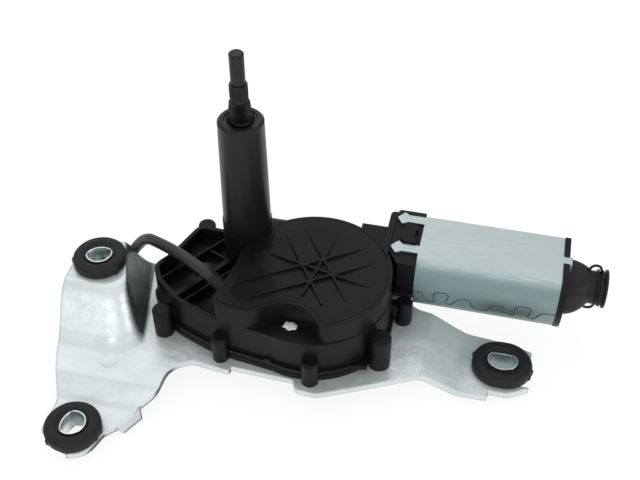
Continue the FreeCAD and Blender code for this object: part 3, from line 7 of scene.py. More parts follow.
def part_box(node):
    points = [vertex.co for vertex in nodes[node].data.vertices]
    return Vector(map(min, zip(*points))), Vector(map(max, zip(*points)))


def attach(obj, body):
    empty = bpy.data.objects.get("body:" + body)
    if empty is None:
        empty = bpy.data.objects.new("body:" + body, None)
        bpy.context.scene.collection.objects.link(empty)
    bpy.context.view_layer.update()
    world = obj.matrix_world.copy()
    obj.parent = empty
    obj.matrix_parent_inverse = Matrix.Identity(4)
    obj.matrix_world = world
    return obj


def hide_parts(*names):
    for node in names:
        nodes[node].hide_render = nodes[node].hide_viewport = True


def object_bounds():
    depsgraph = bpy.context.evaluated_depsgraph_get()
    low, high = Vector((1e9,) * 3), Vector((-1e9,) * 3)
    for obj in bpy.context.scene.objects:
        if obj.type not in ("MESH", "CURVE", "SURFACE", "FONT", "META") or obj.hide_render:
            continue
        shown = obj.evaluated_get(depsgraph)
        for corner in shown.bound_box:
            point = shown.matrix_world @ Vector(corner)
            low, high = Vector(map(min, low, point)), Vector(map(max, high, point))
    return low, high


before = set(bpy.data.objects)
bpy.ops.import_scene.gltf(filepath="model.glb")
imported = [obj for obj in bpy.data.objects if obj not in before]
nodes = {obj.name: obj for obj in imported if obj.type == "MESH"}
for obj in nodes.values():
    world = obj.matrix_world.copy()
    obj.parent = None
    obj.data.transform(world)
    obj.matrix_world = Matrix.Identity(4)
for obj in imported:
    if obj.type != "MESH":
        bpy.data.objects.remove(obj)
cad_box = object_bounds()
MM = 0.001


# Camera
# The picture is taken from above the front, a little to the right of the spindle, through a
# lens of about 54 mm on full frame. Its place was worked out from the object's own straight edges.
CAMERA_AT_MM = (107.1, -313.3, 294.9)
CAMERA_TURN_DEG = 13.1
CAMERA_DIP_DEG = 43.2
FOCAL_PX = 965.0
PICTURE_WIDE_PX = 640.0
FILM_WIDE_MM = 36.0

lens = bpy.data.cameras.new("picture_camera")
lens.sensor_width = FILM_WIDE_MM
lens.lens = FILM_WIDE_MM * FOCAL_PX / PICTURE_WIDE_PX
lens.clip_start = 0.01
camera = bpy.data.objects.new("picture_camera", lens)
bpy.context.scene.collection.objects.link(camera)
camera.location = Vector(CAMERA_AT_MM) * MM
camera.rotation_euler = (math.radians(90 - CAMERA_DIP_DEG), 0, math.radians(CAMERA_TURN_DEG))
bpy.context.scene.camera = camera
bpy.context.scene.view_settings.view_transform = "Standard"


# Floor and light
# A pale studio sweep of paper under three soft boxes. The floor shows white to the camera and in
# reflections, and still takes the object's soft shadow.

def add(tree, kind, links=None, values=None, **settings):
    """Adds one node, sets its properties and socket values, and links its sockets."""
    made = tree.nodes.new("ShaderNode" + kind)
    for key, value in settings.items():
        setattr(made, key, value)
    for key, value in (values or {}).items():
        made.inputs[key].default_value = value
    for key, source in (links or {}).items():
        tree.links.new(source, made.inputs[key])
    return made


def linear(code):
    """Linear RGBA of an sRGB hex colour."""
    parts = [int(code[i:i + 2], 16) / 255 for i in (1, 3, 5)]
    return [c / 12.92 if c <= 0.04045 else ((c + 0.055) / 1.055) ** 2.4 for c in parts] + [1.0]


def new_tree(name):
    """An empty material with its output node."""
    material = bpy.data.materials.new(name)
    material.use_nodes = True
    material.node_tree.nodes.clear()
    return material, material.node_tree, material.node_tree.nodes.new("ShaderNodeOutputMaterial")


SWEEP_HALF_M = 4.0
FLOOR_GAP_M = 0.0002
SHADOW_SHARE = 0.16
LIT_PAPER = 0.8
floor_z = cad_box[0][2] - FLOOR_GAP_M

sweep_mesh = bpy.data.meshes.new("floor")
sweep_mesh.from_pydata([(-SWEEP_HALF_M, -SWEEP_HALF_M, floor_z), (SWEEP_HALF_M, -SWEEP_HALF_M, floor_z),
                        (SWEEP_HALF_M, SWEEP_HALF_M, floor_z), (-SWEEP_HALF_M, SWEEP_HALF_M, floor_z)],
                       [], [(0, 1, 2, 3)])
floor = bpy.data.objects.new("floor", sweep_mesh)
bpy.context.scene.collection.objects.link(floor)
# Matt paper: the camera sees a steady white with a sixth of the real shading left in it as shadow
paper, tree, out = new_tree("white_sweep_paper")
rays = add(tree, "LightPath")
seen = add(tree, "Math", {0: rays.outputs["Is Camera Ray"], 1: rays.outputs["Is Glossy Ray"]},
           operation="MAXIMUM")
seen = add(tree, "Math", {0: seen.outputs[0], 1: rays.outputs["Is Transmission Ray"]}, operation="MAXIMUM")
plain = add(tree, "BsdfDiffuse", values={"Color": linear("#F2F2F2")})
dimmed = add(tree, "BsdfDiffuse", values={"Color": [SHADOW_SHARE, SHADOW_SHARE, SHADOW_SHARE, 1]})
glow = add(tree, "Emission", values={"Color": [1, 1, 1, 1], "Strength": 1.0 - SHADOW_SHARE * LIT_PAPER})
shown = add(tree, "AddShader", {0: dimmed.outputs[0], 1: glow.outputs[0]})
both = add(tree, "MixShader", {0: seen.outputs[0], 1: plain.outputs[0], 2: shown.outputs[0]})
tree.links.new(both.outputs[0], out.inputs["Surface"])
sweep_mesh.materials.append(paper)

world = bpy.data.worlds.new("studio")
bpy.context.scene.world = world
world.use_nodes = True
tree = world.node_tree
tree.nodes.clear()
out = tree.nodes.new("ShaderNodeOutputWorld")
sky = add(tree, "TexCoord")
split = add(tree, "SeparateXYZ", {0: sky.outputs["Generated"]})
rise = add(tree, "ValToRGB", {0: split.outputs["Z"]})
rise.color_ramp.elements[0].color = (0.3, 0.32, 0.33, 1)
rise.color_ramp.elements[1].color = (0.98, 0.99, 1.0, 1)
rise.color_ramp.elements[1].position = 0.45
side = add(tree, "MapRange", {"Value": split.outputs["X"]},
           {"From Min": -0.45, "From Max": 0.6, "To Min": 0.84, "To Max": 0.8})
rays = add(tree, "LightPath")
room = add(tree, "Background", {"Color": rise.outputs[0], "Strength": side.outputs[0]})
white = add(tree, "Background", values={"Color": [1, 1, 1, 1], "Strength": 1.0})
both = add(tree, "MixShader", {0: rays.outputs["Is Camera Ray"], 1: room.outputs[0], 2: white.outputs[0]})
tree.links.new(both.outputs[0], out.inputs["Surface"])


def soft_box(name, at, aim, wide, tall, watts):
    """A rectangular lamp turned towards a point."""
    lamp = bpy.data.lights.new(name, "AREA")
    lamp.shape = "RECTANGLE"
    lamp.size, lamp.size_y, lamp.energy = wide, tall, watts
    box = bpy.data.objects.new(name, lamp)
    bpy.context.scene.collection.objects.link(box)
    box.location = at
    box.rotation_euler = (Vector(aim) - Vector(at)).to_track_quat("-Z", "Y").to_euler()
    return box


MIDDLE_M = (0.03, -0.02, -0.03)
soft_box("overhead_box", (-0.35, 0.55, 0.95), MIDDLE_M, wide=1.5, tall=1.1, watts=2.3)
soft_box("front_box", (0.0, -1.15, 0.55), MIDDLE_M, wide=1.1, tall=0.5, watts=2.7)
soft_box("right_box", (0.95, -0.35, 0.3), MIDDLE_M, wide=0.3, tall=0.5, watts=2.0)


# Mounting bracket
# One sheet of steel 2.5 mm thick, pressed and folded, then zinc plated and blue passivated. The
# plating gives a soft, slightly cloudy shine with a cold tint and fine scuffs from handling.

# Lines and grain of real plated sheet are a few hundredths of a millimetre, finer than a pixel, so
# they are drawn as coarse as these to show
SHEET_LINE_MM = 0.9
PLATING_GRAIN_MM = 0.5


def zinc_finish(name, tint, shade, roughness, cloud_mm, scuff, edge_mm=0.25, wave_mm=0.1,
                painted_shade_brightness=0.5, metal=1.0, painted_shade_side=(0.0, -0.75, -0.66)):
    """Plated steel: cloudy tint, uneven gloss, fine lines along X, and painted shade on faces turned one way.
    """
    material, tree, out = new_tree(name)
    spot = add(tree, "TexCoord").outputs["Object"]
    cloud = add(tree, "TexNoise", {"Vector": spot}, {"Scale": 1 / (cloud_mm * MM), "Detail": 4.0})
    colour = add(tree, "Mix", {"Factor": cloud.outputs["Fac"]}, {6: linear(tint), 7: linear(shade)},
                 data_type="RGBA")
    edge = add(tree, "Bevel", values={"Radius": edge_mm * MM}, samples=8)
    # Painted shade: faces turned towards the given side are mixed into a darker, colder copy of the shade
    # colour
    painted_shade_facing = add(tree, "VectorMath", {0: edge.outputs[0]}, {1: painted_shade_side}, operation="DOT_PRODUCT")
    painted_shade_mask = add(tree, "MapRange", {"Value": painted_shade_facing.outputs["Value"]},
                 {"From Min": 0.0, "From Max": 0.4, "To Min": 0.0, "To Max": 1.0},
                 interpolation_type="SMOOTHSTEP")
    painted_shade_colour = [c * k * painted_shade_brightness for c, k in zip(linear(shade), (0.86, 1.0, 1.0))] + [1.0]
    colour = add(tree, "Mix", {"Factor": painted_shade_mask.outputs[0], 6: colour.outputs[2]}, {7: painted_shade_colour},
                 data_type="RGBA")
    stretch = add(tree, "Mapping", {"Vector": spot}, {"Scale": (0.12, 1.0, 1.0)})
    line = add(tree, "TexNoise", {"Vector": stretch.outputs[0]},
               {"Scale": 1 / (SHEET_LINE_MM * MM), "Detail": 3.0})
    gloss = add(tree, "MapRange", {"Value": line.outputs["Fac"]},
                {"From Min": 0.35, "From Max": 0.7, "To Min": roughness - 0.05, "To Max": roughness + 0.09})
    grain = add(tree, "TexNoise", {"Vector": spot}, {"Scale": 1 / (PLATING_GRAIN_MM * MM), "Detail": 2.0})
    fine = add(tree, "Bump", {"Height": grain.outputs["Fac"], "Normal": edge.outputs[0]},
               {"Strength": 0.06, "Distance": 0.1 * MM})
    dents = add(tree, "Bump", {"Height": cloud.outputs["Fac"], "Normal": fine.outputs[0]},
                {"Strength": 0.5, "Distance": wave_mm * MM})
    marks = add(tree, "Bump", {"Height": line.outputs["Fac"], "Normal": dents.outputs[0]},
                {"Strength": scuff, "Distance": 0.08 * MM})
    skin = add(tree, "BsdfPrincipled", {"Base Color": colour.outputs[2], "Roughness": gloss.outputs[0],
                                        "Normal": marks.outputs[0]}, {"Metallic": metal})
    tree.links.new(skin.outputs[0], out.inputs["Surface"])
    return material


def dress(node_name, finish):
    """Gives a CAD node its real finish."""
    node = nodes[node_name]
    if not node.data.materials:
        node.data.materials.append(finish)
    for spot in node.material_slots:
        spot.material = finish
    for face in node.data.polygons:
        face.material_index = 0


# Blue passivated zinc: a pale, slightly blue sheen, half satin, in slow cloudy patches; painted shade
# makes a flank that turns away from the light much darker
bracket_zinc = zinc_finish("blue_zinc_on_pressed_steel", "#E9EEEE", "#CDD7D7", roughness=0.38, cloud_mm=15.0,
                           scuff=0.03, edge_mm=1.4, wave_mm=2.0, painted_shade_brightness=0.13, metal=0.52,
                           painted_shade_side=(0.7, 0.6, -0.4))
dress("mounting_bracket", bracket_zinc)


# Bottom cover and its seal
# A shallow moulded pan closes the gear room from below and is clamped between housing and bracket.
# A band of moulded rubber seals it against the foot of the housing's wall.

GLOSS_PATCH_MM = 14.0


# The pits and pores of moulded surfaces are about 0.05 mm, finer than a pixel, so each grain given in
# mm below is drawn over ten times too coarse, to show
def moulded_finish(name, code, roughness, grain_mm, depth, edge_mm=0.3, sheen=0.3):
    """Plastic or rubber: spark eroded mould grain and slow changes of gloss."""
    material, tree, out = new_tree(name)
    spot = add(tree, "TexCoord").outputs["Object"]
    slow = add(tree, "TexNoise", {"Vector": spot}, {"Scale": 1 / (GLOSS_PATCH_MM * MM), "Detail": 3.0})
    lighter = [min(c * 1.5 + 0.0015, 1.0) for c in linear(code)[:3]] + [1.0]
    colour = add(tree, "Mix", {"Factor": slow.outputs["Fac"]}, {6: linear(code), 7: lighter},
                 data_type="RGBA")
    gloss = add(tree, "MapRange", {"Value": slow.outputs["Fac"]},
                {"From Min": 0.3, "From Max": 0.7, "To Min": roughness - 0.04, "To Max": roughness + 0.05})
    grain = add(tree, "TexNoise", {"Vector": spot}, {"Scale": 1 / (grain_mm * MM), "Detail": 2.0})
    edge = add(tree, "Bevel", values={"Radius": edge_mm * MM}, samples=6)
    bump = add(tree, "Bump", {"Height": grain.outputs["Fac"], "Normal": edge.outputs[0]},
               {"Strength": depth, "Distance": 0.1 * MM})
    skin = add(tree, "BsdfPrincipled",
               {"Base Color": colour.outputs[2], "Roughness": gloss.outputs[0], "Normal": bump.outputs[0]},
               {"IOR": 1.5, "Specular IOR Level": sheen})
    tree.links.new(skin.outputs[0], out.inputs["Surface"])
    return material


# Glass filled polyester off a spark eroded mould: near black with a dry, even sheen
housing_black = moulded_finish("glass_filled_pbt", "#0D0D0E", roughness=0.4, grain_mm=0.7, depth=0.08,
                               edge_mm=0.35, sheen=0.16)
# Moulded rubber: a duller and slightly greyer black than the housing
rubber_black = moulded_finish("moulded_epdm_rubber", "#171717", roughness=0.5, grain_mm=0.9, depth=0.12,
                              edge_mm=0.4, sheen=0.25)
dress("bottom_cover", housing_black)
dress("base_seal", rubber_black)


# Gear housing
# The main moulding, in black glass filled plastic: drum for the worm wheel, open ribbed tray on
# the left, screw bosses round the foot and a collar that carries the spindle's sleeve. The pocket
# in its front has a thin bead round its back edge, and an inspector's dab of white paint.
dress("gear_housing", housing_black)
POCKET_FLOOR_MM = -19.0
BEAD_MM = 0.35
BEAD_LINE = [(11.8, -47.7), (16.6, -46.0), (21.5, -41.9), (30.6, -39.1), (39.6, -42.2)]


def run_of(name, points_mm, radius_mm, finish, body="motor_unit"):
    """A round bead or cord along a smooth line through mm points."""
    curve = bpy.data.curves.new(name, "CURVE")
    curve.dimensions = "3D"
    curve.bevel_depth = radius_mm * MM
    curve.bevel_resolution = 4
    curve.resolution_u = 8
    curve.use_fill_caps = True
    curve.materials.append(finish)
    spline = curve.splines.new("NURBS")
    spline.points.add(len(points_mm) - 1)
    for spot, point in zip(spline.points, points_mm):
        spot.co = (*(Vector(point) * MM), 1.0)
    spline.order_u = 3
    spline.use_endpoint_u = True
    line = bpy.data.objects.new(name, curve)
    bpy.context.scene.collection.objects.link(line)
    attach(line, body)
    return line


def piece_of(name, form, finish, body="motor_unit"):
    """Turns a bmesh into a smooth shaded piece that rides on a body."""
    mesh = bpy.data.meshes.new(name)
    form.to_mesh(mesh)
    form.free()
    mesh.materials.append(finish)
    for face in mesh.polygons:
        face.use_smooth = True
    piece = bpy.data.objects.new(name, mesh)
    bpy.context.scene.collection.objects.link(piece)
    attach(piece, body)
    return piece


bead = run_of("pocket_bead", [(x, y, POCKET_FLOOR_MM) for x, y in BEAD_LINE], BEAD_MM, housing_black)

DAB_AT = (31.0, -43.7)
DAB_LONG_MM = 3.3
DAB_WIDE_MM = 2.5
DAB_TALL_MM = 0.5
DAB_RINGS = 6
DAB_STEPS = 40
DAB_RAGGED = 0.28
DAB_LUMPS = 0.5
DAB_SUNK_MM = 0.05
# Where the noise is read that makes the dab's edge ragged and its top lumpy
DAB_EDGE_WAVES = 3
DAB_EDGE_SLICE = 1.7
DAB_TOP_SLICE = 4.0
PAINT_STREAK_MM = 1.1
# Marking paint dabbed on by hand: off white, thick in the middle, thin and streaky at its edge
dab_paint, tree, out = new_tree("white_marking_paint")
spot = add(tree, "TexCoord").outputs["Object"]
thin = add(tree, "TexNoise", {"Vector": spot}, {"Scale": 1 / (PAINT_STREAK_MM * MM), "Detail": 4.0})
colour = add(tree, "Mix", {"Factor": thin.outputs["Fac"]}, {6: linear("#F2F2EE"), 7: linear("#C9C9C4")},
             data_type="RGBA")
bump = add(tree, "Bump", {"Height": thin.outputs["Fac"]}, {"Strength": 0.5, "Distance": 0.3 * MM})
skin = add(tree, "BsdfPrincipled", {"Base Color": colour.outputs[2], "Normal": bump.outputs[0]},
           {"Roughness": 0.45})
tree.links.new(skin.outputs[0], out.inputs["Surface"])
form = bmesh.new()
rings = []
for i in range(DAB_RINGS + 1):
    share = i / DAB_RINGS
    ring = []
    for k in range(DAB_STEPS):
        turn = 2 * math.pi * k / DAB_STEPS
        edge_at = (DAB_EDGE_WAVES * math.cos(turn), DAB_EDGE_WAVES * math.sin(turn), DAB_EDGE_SLICE)
        ragged = 1 + DAB_RAGGED * noise.noise(edge_at)
        x = DAB_AT[0] + DAB_LONG_MM * ragged * share * math.cos(turn)
        y = DAB_AT[1] + DAB_WIDE_MM * ragged * share * math.sin(turn)
        lump = 1 + DAB_LUMPS * noise.noise((x, y, DAB_TOP_SLICE))
        z = POCKET_FLOOR_MM - DAB_SUNK_MM + DAB_TALL_MM * lump * math.sqrt(max(1 - share * share, 0.0))
        ring.append(form.verts.new((x * MM, y * MM, z * MM)))
    rings.append(ring)
for inner, outer in zip(rings, rings[1:]):
    for k in range(DAB_STEPS):
        form.faces.new((inner[k], outer[k], outer[(k + 1) % DAB_STEPS], inner[(k + 1) % DAB_STEPS]))
form.faces.new(list(reversed(rings[-1])))
bmesh.ops.remove_doubles(form, verts=form.verts, dist=0.001 * MM)
bmesh.ops.recalc_face_normals(form, faces=form.faces)
piece_of("paint_dab", form, dab_paint)


# Gear cover
# A flat lid moulded in the housing's plastic, with two shallow dished fields crossed by six thin
# straight ribs. It is let into the housing's rim on a rubber seal.
dress("gear_cover", housing_black)
dress("cover_seal", rubber_black)


# Spindle bearing and sleeve
# A steel tube with two sintered bushes carries the spindle. A tall tapered sleeve of satin black
# plastic covers it, with a lip seal at its mouth.

# Acetal: a closed, slightly waxy skin, glossier than the housing, that shows one long soft highlight
sleeve_black = moulded_finish("satin_acetal", "#101010", roughness=0.36, grain_mm=1.1, depth=0.05,
                              edge_mm=0.3, sheen=0.28)
dress("shaft_sleeve", sleeve_black)
# Turned and plated steel: a darker grey than the sheet, with small cloudy patches
# Faces turned to the front and down get painted shade, darker and colder
tube_zinc = zinc_finish("turned_plated_steel", "#8E9494", "#5F6667", roughness=0.34, cloud_mm=6.0, scuff=0.12)
dress("spindle_washer", tube_zinc)
dress("shaft_seal", rubber_black)


# The pores and crystals of these surfaces are some hundredths of a millimetre, so each fleck given
# in mm below is drawn about ten times too coarse, to show
def grained_finish(name, code, dark, roughness, fleck_mm, metallic=1.0):
    """Metal, ceramic or carbon with a fine fleck and small changes of gloss."""
    material, tree, out = new_tree(name)
    spot = add(tree, "TexCoord").outputs["Object"]
    fleck = add(tree, "TexNoise", {"Vector": spot}, {"Scale": 1 / (fleck_mm * MM), "Detail": 5.0})
    colour = add(tree, "Mix", {"Factor": fleck.outputs["Fac"]}, {6: linear(dark), 7: linear(code)},
                 data_type="RGBA")
    gloss = add(tree, "MapRange", {"Value": fleck.outputs["Fac"]},
                {"To Min": roughness - 0.08, "To Max": roughness + 0.1})
    bump = add(tree, "Bump", {"Height": fleck.outputs["Fac"]}, {"Strength": 0.12, "Distance": 0.05 * MM})
    skin = add(tree, "BsdfPrincipled", {"Base Color": colour.outputs[2], "Roughness": gloss.outputs[0],
                                        "Normal": bump.outputs[0]}, {"Metallic": metallic})
    tree.links.new(skin.outputs[0], out.inputs["Surface"])
    return material


# Sintered bronze soaked in oil: warm brown, dull and finely pored
bush_bronze = grained_finish("oiled_sintered_bronze", "#B08A4E", "#7C5C30", roughness=0.4, fleck_mm=0.8)
for bush in ("upper_bush", "lower_bush", "worm_end_bush", "neck_bush", "rear_bearing"):
    dress(bush, bush_bronze)


# Spindle
# Carbon steel, turned, knurled on its cone for the wiper arm, threaded for an M8 nut, then
# phosphated dark grey. Its foot is turned down to 8 mm for the pinion.

# Heights of the ends of its steps, from the foot up
SEAT_TOP_MM = -29.0
BODY_TOP_MM = 55.2
CONE_TOP_MM = 64.5
NECK_TOP_MM = 65.4
THREAD_TOP_MM = 73.0
spindle_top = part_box("wiper_spindle")[1].z / MM
SEAT_R_MM = 4.0
BODY_R_MM = 5.0
CONE_R_MM = 5.27
CONE_FOOT_MM = 55.5
CONE_TAPER = 0.095
KNURL_TEETH = 44
KNURL_DEEP_MM = 0.4
KNURL_EASE_MM = 0.8
NECK_R_MM = 3.5
THREAD_R_MM = 4.0
THREAD_PITCH_MM = 1.25
THREAD_DEEP_MM = 0.65
THREAD_EASE_MM = 0.7
THREAD_START_MM = 0.25
TIP_R_MM = 3.125
TIP_CHAMFER_MM = 0.5
# Phosphated steel: a dark, dry grey that takes the light only on its edges
phosphate = grained_finish("phosphated_steel", "#4A4A49", "#1C1C1C", roughness=0.4, fleck_mm=0.6)


def spindle_radius(z, turn):
    """Outside of the spindle in mm at a height in mm and an angle in radians."""
    if z < SEAT_TOP_MM:
        return SEAT_R_MM
    if z < BODY_TOP_MM:
        return BODY_R_MM
    if z < CONE_TOP_MM:
        ridge = abs((turn * KNURL_TEETH / (2 * math.pi)) % 1.0 - 0.5) * 2
        ease = min(1.0, (z - BODY_TOP_MM) / KNURL_EASE_MM, (CONE_TOP_MM - z) / KNURL_EASE_MM)
        return CONE_R_MM - (z - CONE_FOOT_MM) * CONE_TAPER - KNURL_DEEP_MM * ridge * max(ease, 0.0)
    if z < NECK_TOP_MM:
        return NECK_R_MM
    if z < THREAD_TOP_MM:
        phase = ((z / THREAD_PITCH_MM) - turn / (2 * math.pi)) % 1.0
        groove = 1 - abs(phase - 0.5) * 2
        ease = min(1.0, (z - NECK_TOP_MM) / THREAD_EASE_MM, (THREAD_TOP_MM - z) / THREAD_EASE_MM)
        return THREAD_R_MM - THREAD_START_MM * (1 - ease) - THREAD_DEEP_MM * groove * ease
    if z < spindle_top - TIP_CHAMFER_MM:
        return TIP_R_MM
    return TIP_R_MM - (z - (spindle_top - TIP_CHAMFER_MM))


# Heights of the single rings of points, most of them beside a step
SINGLE_RINGS_MM = [-38.0, -29.05, -28.95, 0.0, 30.0, 55.1, 55.25, 64.6, 65.35, 73.05, 79.2, 86.9, 87.4]
# Evenly spaced rings on the cone, the thread and the flat: lowest height, length and number of gaps
RING_RUNS = [(55.3, 9.2, 24), (65.4, 7.6, 72), (79.25, 7.3, 12)]
POINTS_PER_TOOTH = 4
levels = sorted(SINGLE_RINGS_MM + [lowest + long * i / gaps for lowest, long, gaps in RING_RUNS
                                   for i in range(gaps + 1)])
ring_points = KNURL_TEETH * POINTS_PER_TOOTH
FLAT_FOOT_MM = 79.3
FLAT_TOP_MM = 86.5
FLAT_DEEP_MM = 0.7
METAL_SHARP_DEG = 38
# At rest the flat faces the camera
flat_turn = math.radians(CAMERA_TURN_DEG - 90)
form = bmesh.new()
rows = []
for z in levels:
    row = []
    for i in range(ring_points):
        turn = 2 * math.pi * i / ring_points
        r = spindle_radius(z, turn)
        x, y = r * math.cos(turn), r * math.sin(turn)
        if FLAT_FOOT_MM < z < FLAT_TOP_MM:
            reach = x * math.cos(flat_turn) + y * math.sin(flat_turn)
            extra = max(reach - (TIP_R_MM - FLAT_DEEP_MM), 0.0)
            x -= extra * math.cos(flat_turn)
            y -= extra * math.sin(flat_turn)
        row.append(form.verts.new((x * MM, y * MM, z * MM)))
    rows.append(row)
for lower, upper in zip(rows, rows[1:]):
    for i in range(ring_points):
        step = (i + 1) % ring_points
        form.faces.new((lower[i], lower[step], upper[step], upper[i]))
form.faces.new(list(reversed(rows[0])))
form.faces.new(rows[-1])
spindle = piece_of("threaded_spindle", form, phosphate, "spindle_set")
spindle.data.set_sharp_from_angle(angle=math.radians(METAL_SHARP_DEG))
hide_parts("wiper_spindle")
dress("bearing_tube", phosphate)


# Gears and linkage in the housing
# Hardened steel pinion and sector, a pressed steel rod, and a nylon worm wheel with a copper
# contact track. All of it is greased and out of sight.

# Hardened and ground steel: a smooth cool grey with a tight highlight
gear_steel = grained_finish("hardened_gear_steel", "#77797A", "#4C4E50", roughness=0.3, fleck_mm=0.7)
# Unfilled nylon: bone coloured and a little waxy
wheel_nylon = moulded_finish("natural_nylon", "#B9B29C", roughness=0.45, grain_mm=1.2, depth=0.1)
# Enamelled copper: red brown under a varnish gloss
copper = grained_finish("enamelled_copper", "#B4693A", "#7E3F1E", roughness=0.32, fleck_mm=0.5)
# Solder resist on glass board: deep green and even
board_green = moulded_finish("solder_resist_on_glass_board", "#0E3B20", roughness=0.35, grain_mm=0.8,
                             depth=0.15)
for part in ("drive_pinion", "toothed_sector", "connecting_rod", "rod_pin", "crank_pin", "wheel_axle",
             "axle_clip"):
    dress(part, gear_steel)
dress("sector_pivot_pin", phosphate)
for part in ("worm_wheel", "spindle_thrust_pad"):
    dress(part, wheel_nylon)
dress("contact_disc", copper)
dress("circuit_board", board_green)


# Armature, magnets and brushes
# The rotating part of the motor inside its can, with ferrite magnets round it and two carbon
# brushes on the commutator.

# Stacked sheets of electrical steel: a dull mid grey
lamination = grained_finish("stacked_lamination_steel", "#6A6C6E", "#3B3D3F", roughness=0.45,
                            fleck_mm=0.35)
# Sintered ferrite: charcoal, and matt like stoneware
ferrite = grained_finish("sintered_ferrite", "#2A2A2C", "#1A1A1C", roughness=0.6, fleck_mm=0.9, metallic=0.0)
# Pressed carbon: almost black, and dry
carbon = grained_finish("pressed_carbon", "#1D1D1D", "#101010", roughness=0.5, fleck_mm=0.7, metallic=0.0)
for part in ("armature_shaft", "worm", "thrust_ball", "brush_springs"):
    dress(part, gear_steel)
dress("armature_core", lamination)
for part in ("armature_windings", "commutator", "choke_coils"):
    dress(part, copper)
dress("magnets", ferrite)
dress("carbon_brushes", carbon)


# Motor can
# A strip of steel rolled to a tube with two flat sides, locked by a dovetail seam low on its
# front, and zinc plated. It is a little duller than the bracket.

# Zinc on rolled steel: broad soft light on its top; the darker, greener grey down its front is painted shade
can_zinc = zinc_finish("zinc_on_rolled_steel", "#C2CCCC", "#B2BEBE", roughness=0.44, cloud_mm=30.0,
                       scuff=0.05, edge_mm=0.4, wave_mm=0.8, painted_shade_brightness=0.62, metal=0.9)
dress("motor_can", can_zinc)
CAN_HALF_FLAT_MM = 14.3
CAN_HALF_THICK_MM = 14.2
CAN_BULGE_MM = 5.1
MOTOR_Y_MM = 12.0
MOTOR_Z_MM = -21.0
SEAM_MM = 0.2
SEAM_STEP_MM = 1.2
# The bright lip beside the seam: its shift along X, along Z and off the can, and its share of width
LIP_SHIFT_MM = (0.22, -0.24, -0.02)
LIP_SHARE = 0.8
SEAM_LINE = [(79.4, -22.3), (83.4, -22.7), (85.5, -28.1), (88.6, -29.1), (89.5, -26.7), (88.7, -23.1),
             (89.7, -21.4), (93.8, -20.7), (95.7, -22.5), (94.4, -26.6), (95.9, -29.5), (97.9, -27.2),
             (100.1, -23.6), (105.3, -22.9), (106.6, -27.4), (108.5, -29.7), (113.4, -29.1), (115.2, -23.6),
             (120.5, -23.2), (122.8, -28.5), (124.9, -30.0), (126.0, -27.3), (125.4, -23.7), (126.4, -21.6),
             (131.5, -21.2), (132.8, -22.8), (131.5, -28.3), (133.8, -30.2), (135.3, -27.6), (137.4, -23.7),
             (143.3, -23.2)]
side_r = (CAN_HALF_THICK_MM ** 2 + CAN_BULGE_MM ** 2) / (2 * CAN_BULGE_MM)
side_y = MOTOR_Y_MM - CAN_HALF_FLAT_MM - CAN_BULGE_MM + side_r


def on_can(x, z, proud=0.0):
    """Point on the can's front side at a place along it and a height."""
    return (x, side_y - math.sqrt((side_r + proud) ** 2 - (z - MOTOR_Z_MM) ** 2), z)


def seam_run(shift_x, shift_z, proud):
    """The dovetailed line in short steps that follow the can's curve."""
    run = []
    for (x0, z0), (x1, z1) in zip(SEAM_LINE, SEAM_LINE[1:]):
        steps = max(1, round(math.hypot(x1 - x0, z1 - z0) / SEAM_STEP_MM))
        run += [on_can(x0 + (x1 - x0) * i / steps + shift_x, z0 + (z1 - z0) * i / steps + shift_z, proud)
                for i in range(steps)]
    return run + [on_can(SEAM_LINE[-1][0], SEAM_LINE[-1][1] + shift_z, proud)]


# The seam's groove: its shade is painted on as a thin, dull dark line
seam_painted_shade = zinc_finish("seam_groove_painted_shade", "#5C6A6B", "#4A5758", roughness=0.6, cloud_mm=3.0, scuff=0.1)
run_of("can_seam_painted_shade", seam_run(0.0, 0.0, 0.0), SEAM_MM, seam_painted_shade)
run_of("can_seam_edge", seam_run(*LIP_SHIFT_MM), SEAM_MM * LIP_SHARE, can_zinc)


# Brush holder, end plate and boot
# Black mouldings close the can at both ends. A rubber boot with a wire clip covers the rear
# bearing.
dress("brush_holder", housing_black)
dress("motor_end_plate", housing_black)
dress("end_boot", rubber_black)
CLIP_X_MM = 160.0
CLIP_MM = 0.5
NECK_MM = 7.6
CLIP_STEPS = 24
# A smooth line through a ring of points runs a little inside them
CLIP_SPREAD = 1.012
GRIP_MM = 0.6
# Grip loops of the clip: the way each stands off the neck, then places along X and off the axis
GRIP_LOOPS = [(18.0, [(155.6, 7.4), (155.8, 9.6), (158.2, 11.2), (161.0, 10.4), (161.2, 7.6)]),
              (212.0, [(154.6, 7.8), (155.0, 9.2), (157.2, 9.9), (159.8, 9.2), (160.4, 7.7)])]
# Blackened spring steel: dark, with a thin bright line where the wire turns
clip_steel = grained_finish("blackened_spring_steel", "#3A3A3A", "#1C1C1C", roughness=0.4, fleck_mm=0.5)
clip_r = (NECK_MM + CLIP_MM) * CLIP_SPREAD
ring = [(CLIP_X_MM, MOTOR_Y_MM + clip_r * math.sin(2 * math.pi * i / CLIP_STEPS),
         MOTOR_Z_MM + clip_r * math.cos(2 * math.pi * i / CLIP_STEPS)) for i in range(CLIP_STEPS + 1)]
clip = run_of("boot_clip_ring", ring, CLIP_MM, clip_steel)
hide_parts("boot_clip")
for number, (way, places) in enumerate(GRIP_LOOPS):
    up, back = math.cos(math.radians(way)), math.sin(math.radians(way))
    loop = run_of("boot_clip_loop_%d" % (number + 1),
                  [(x, MOTOR_Y_MM + off * back, MOTOR_Z_MM + off * up) for x, off in places],
                  GRIP_MM, clip_steel)
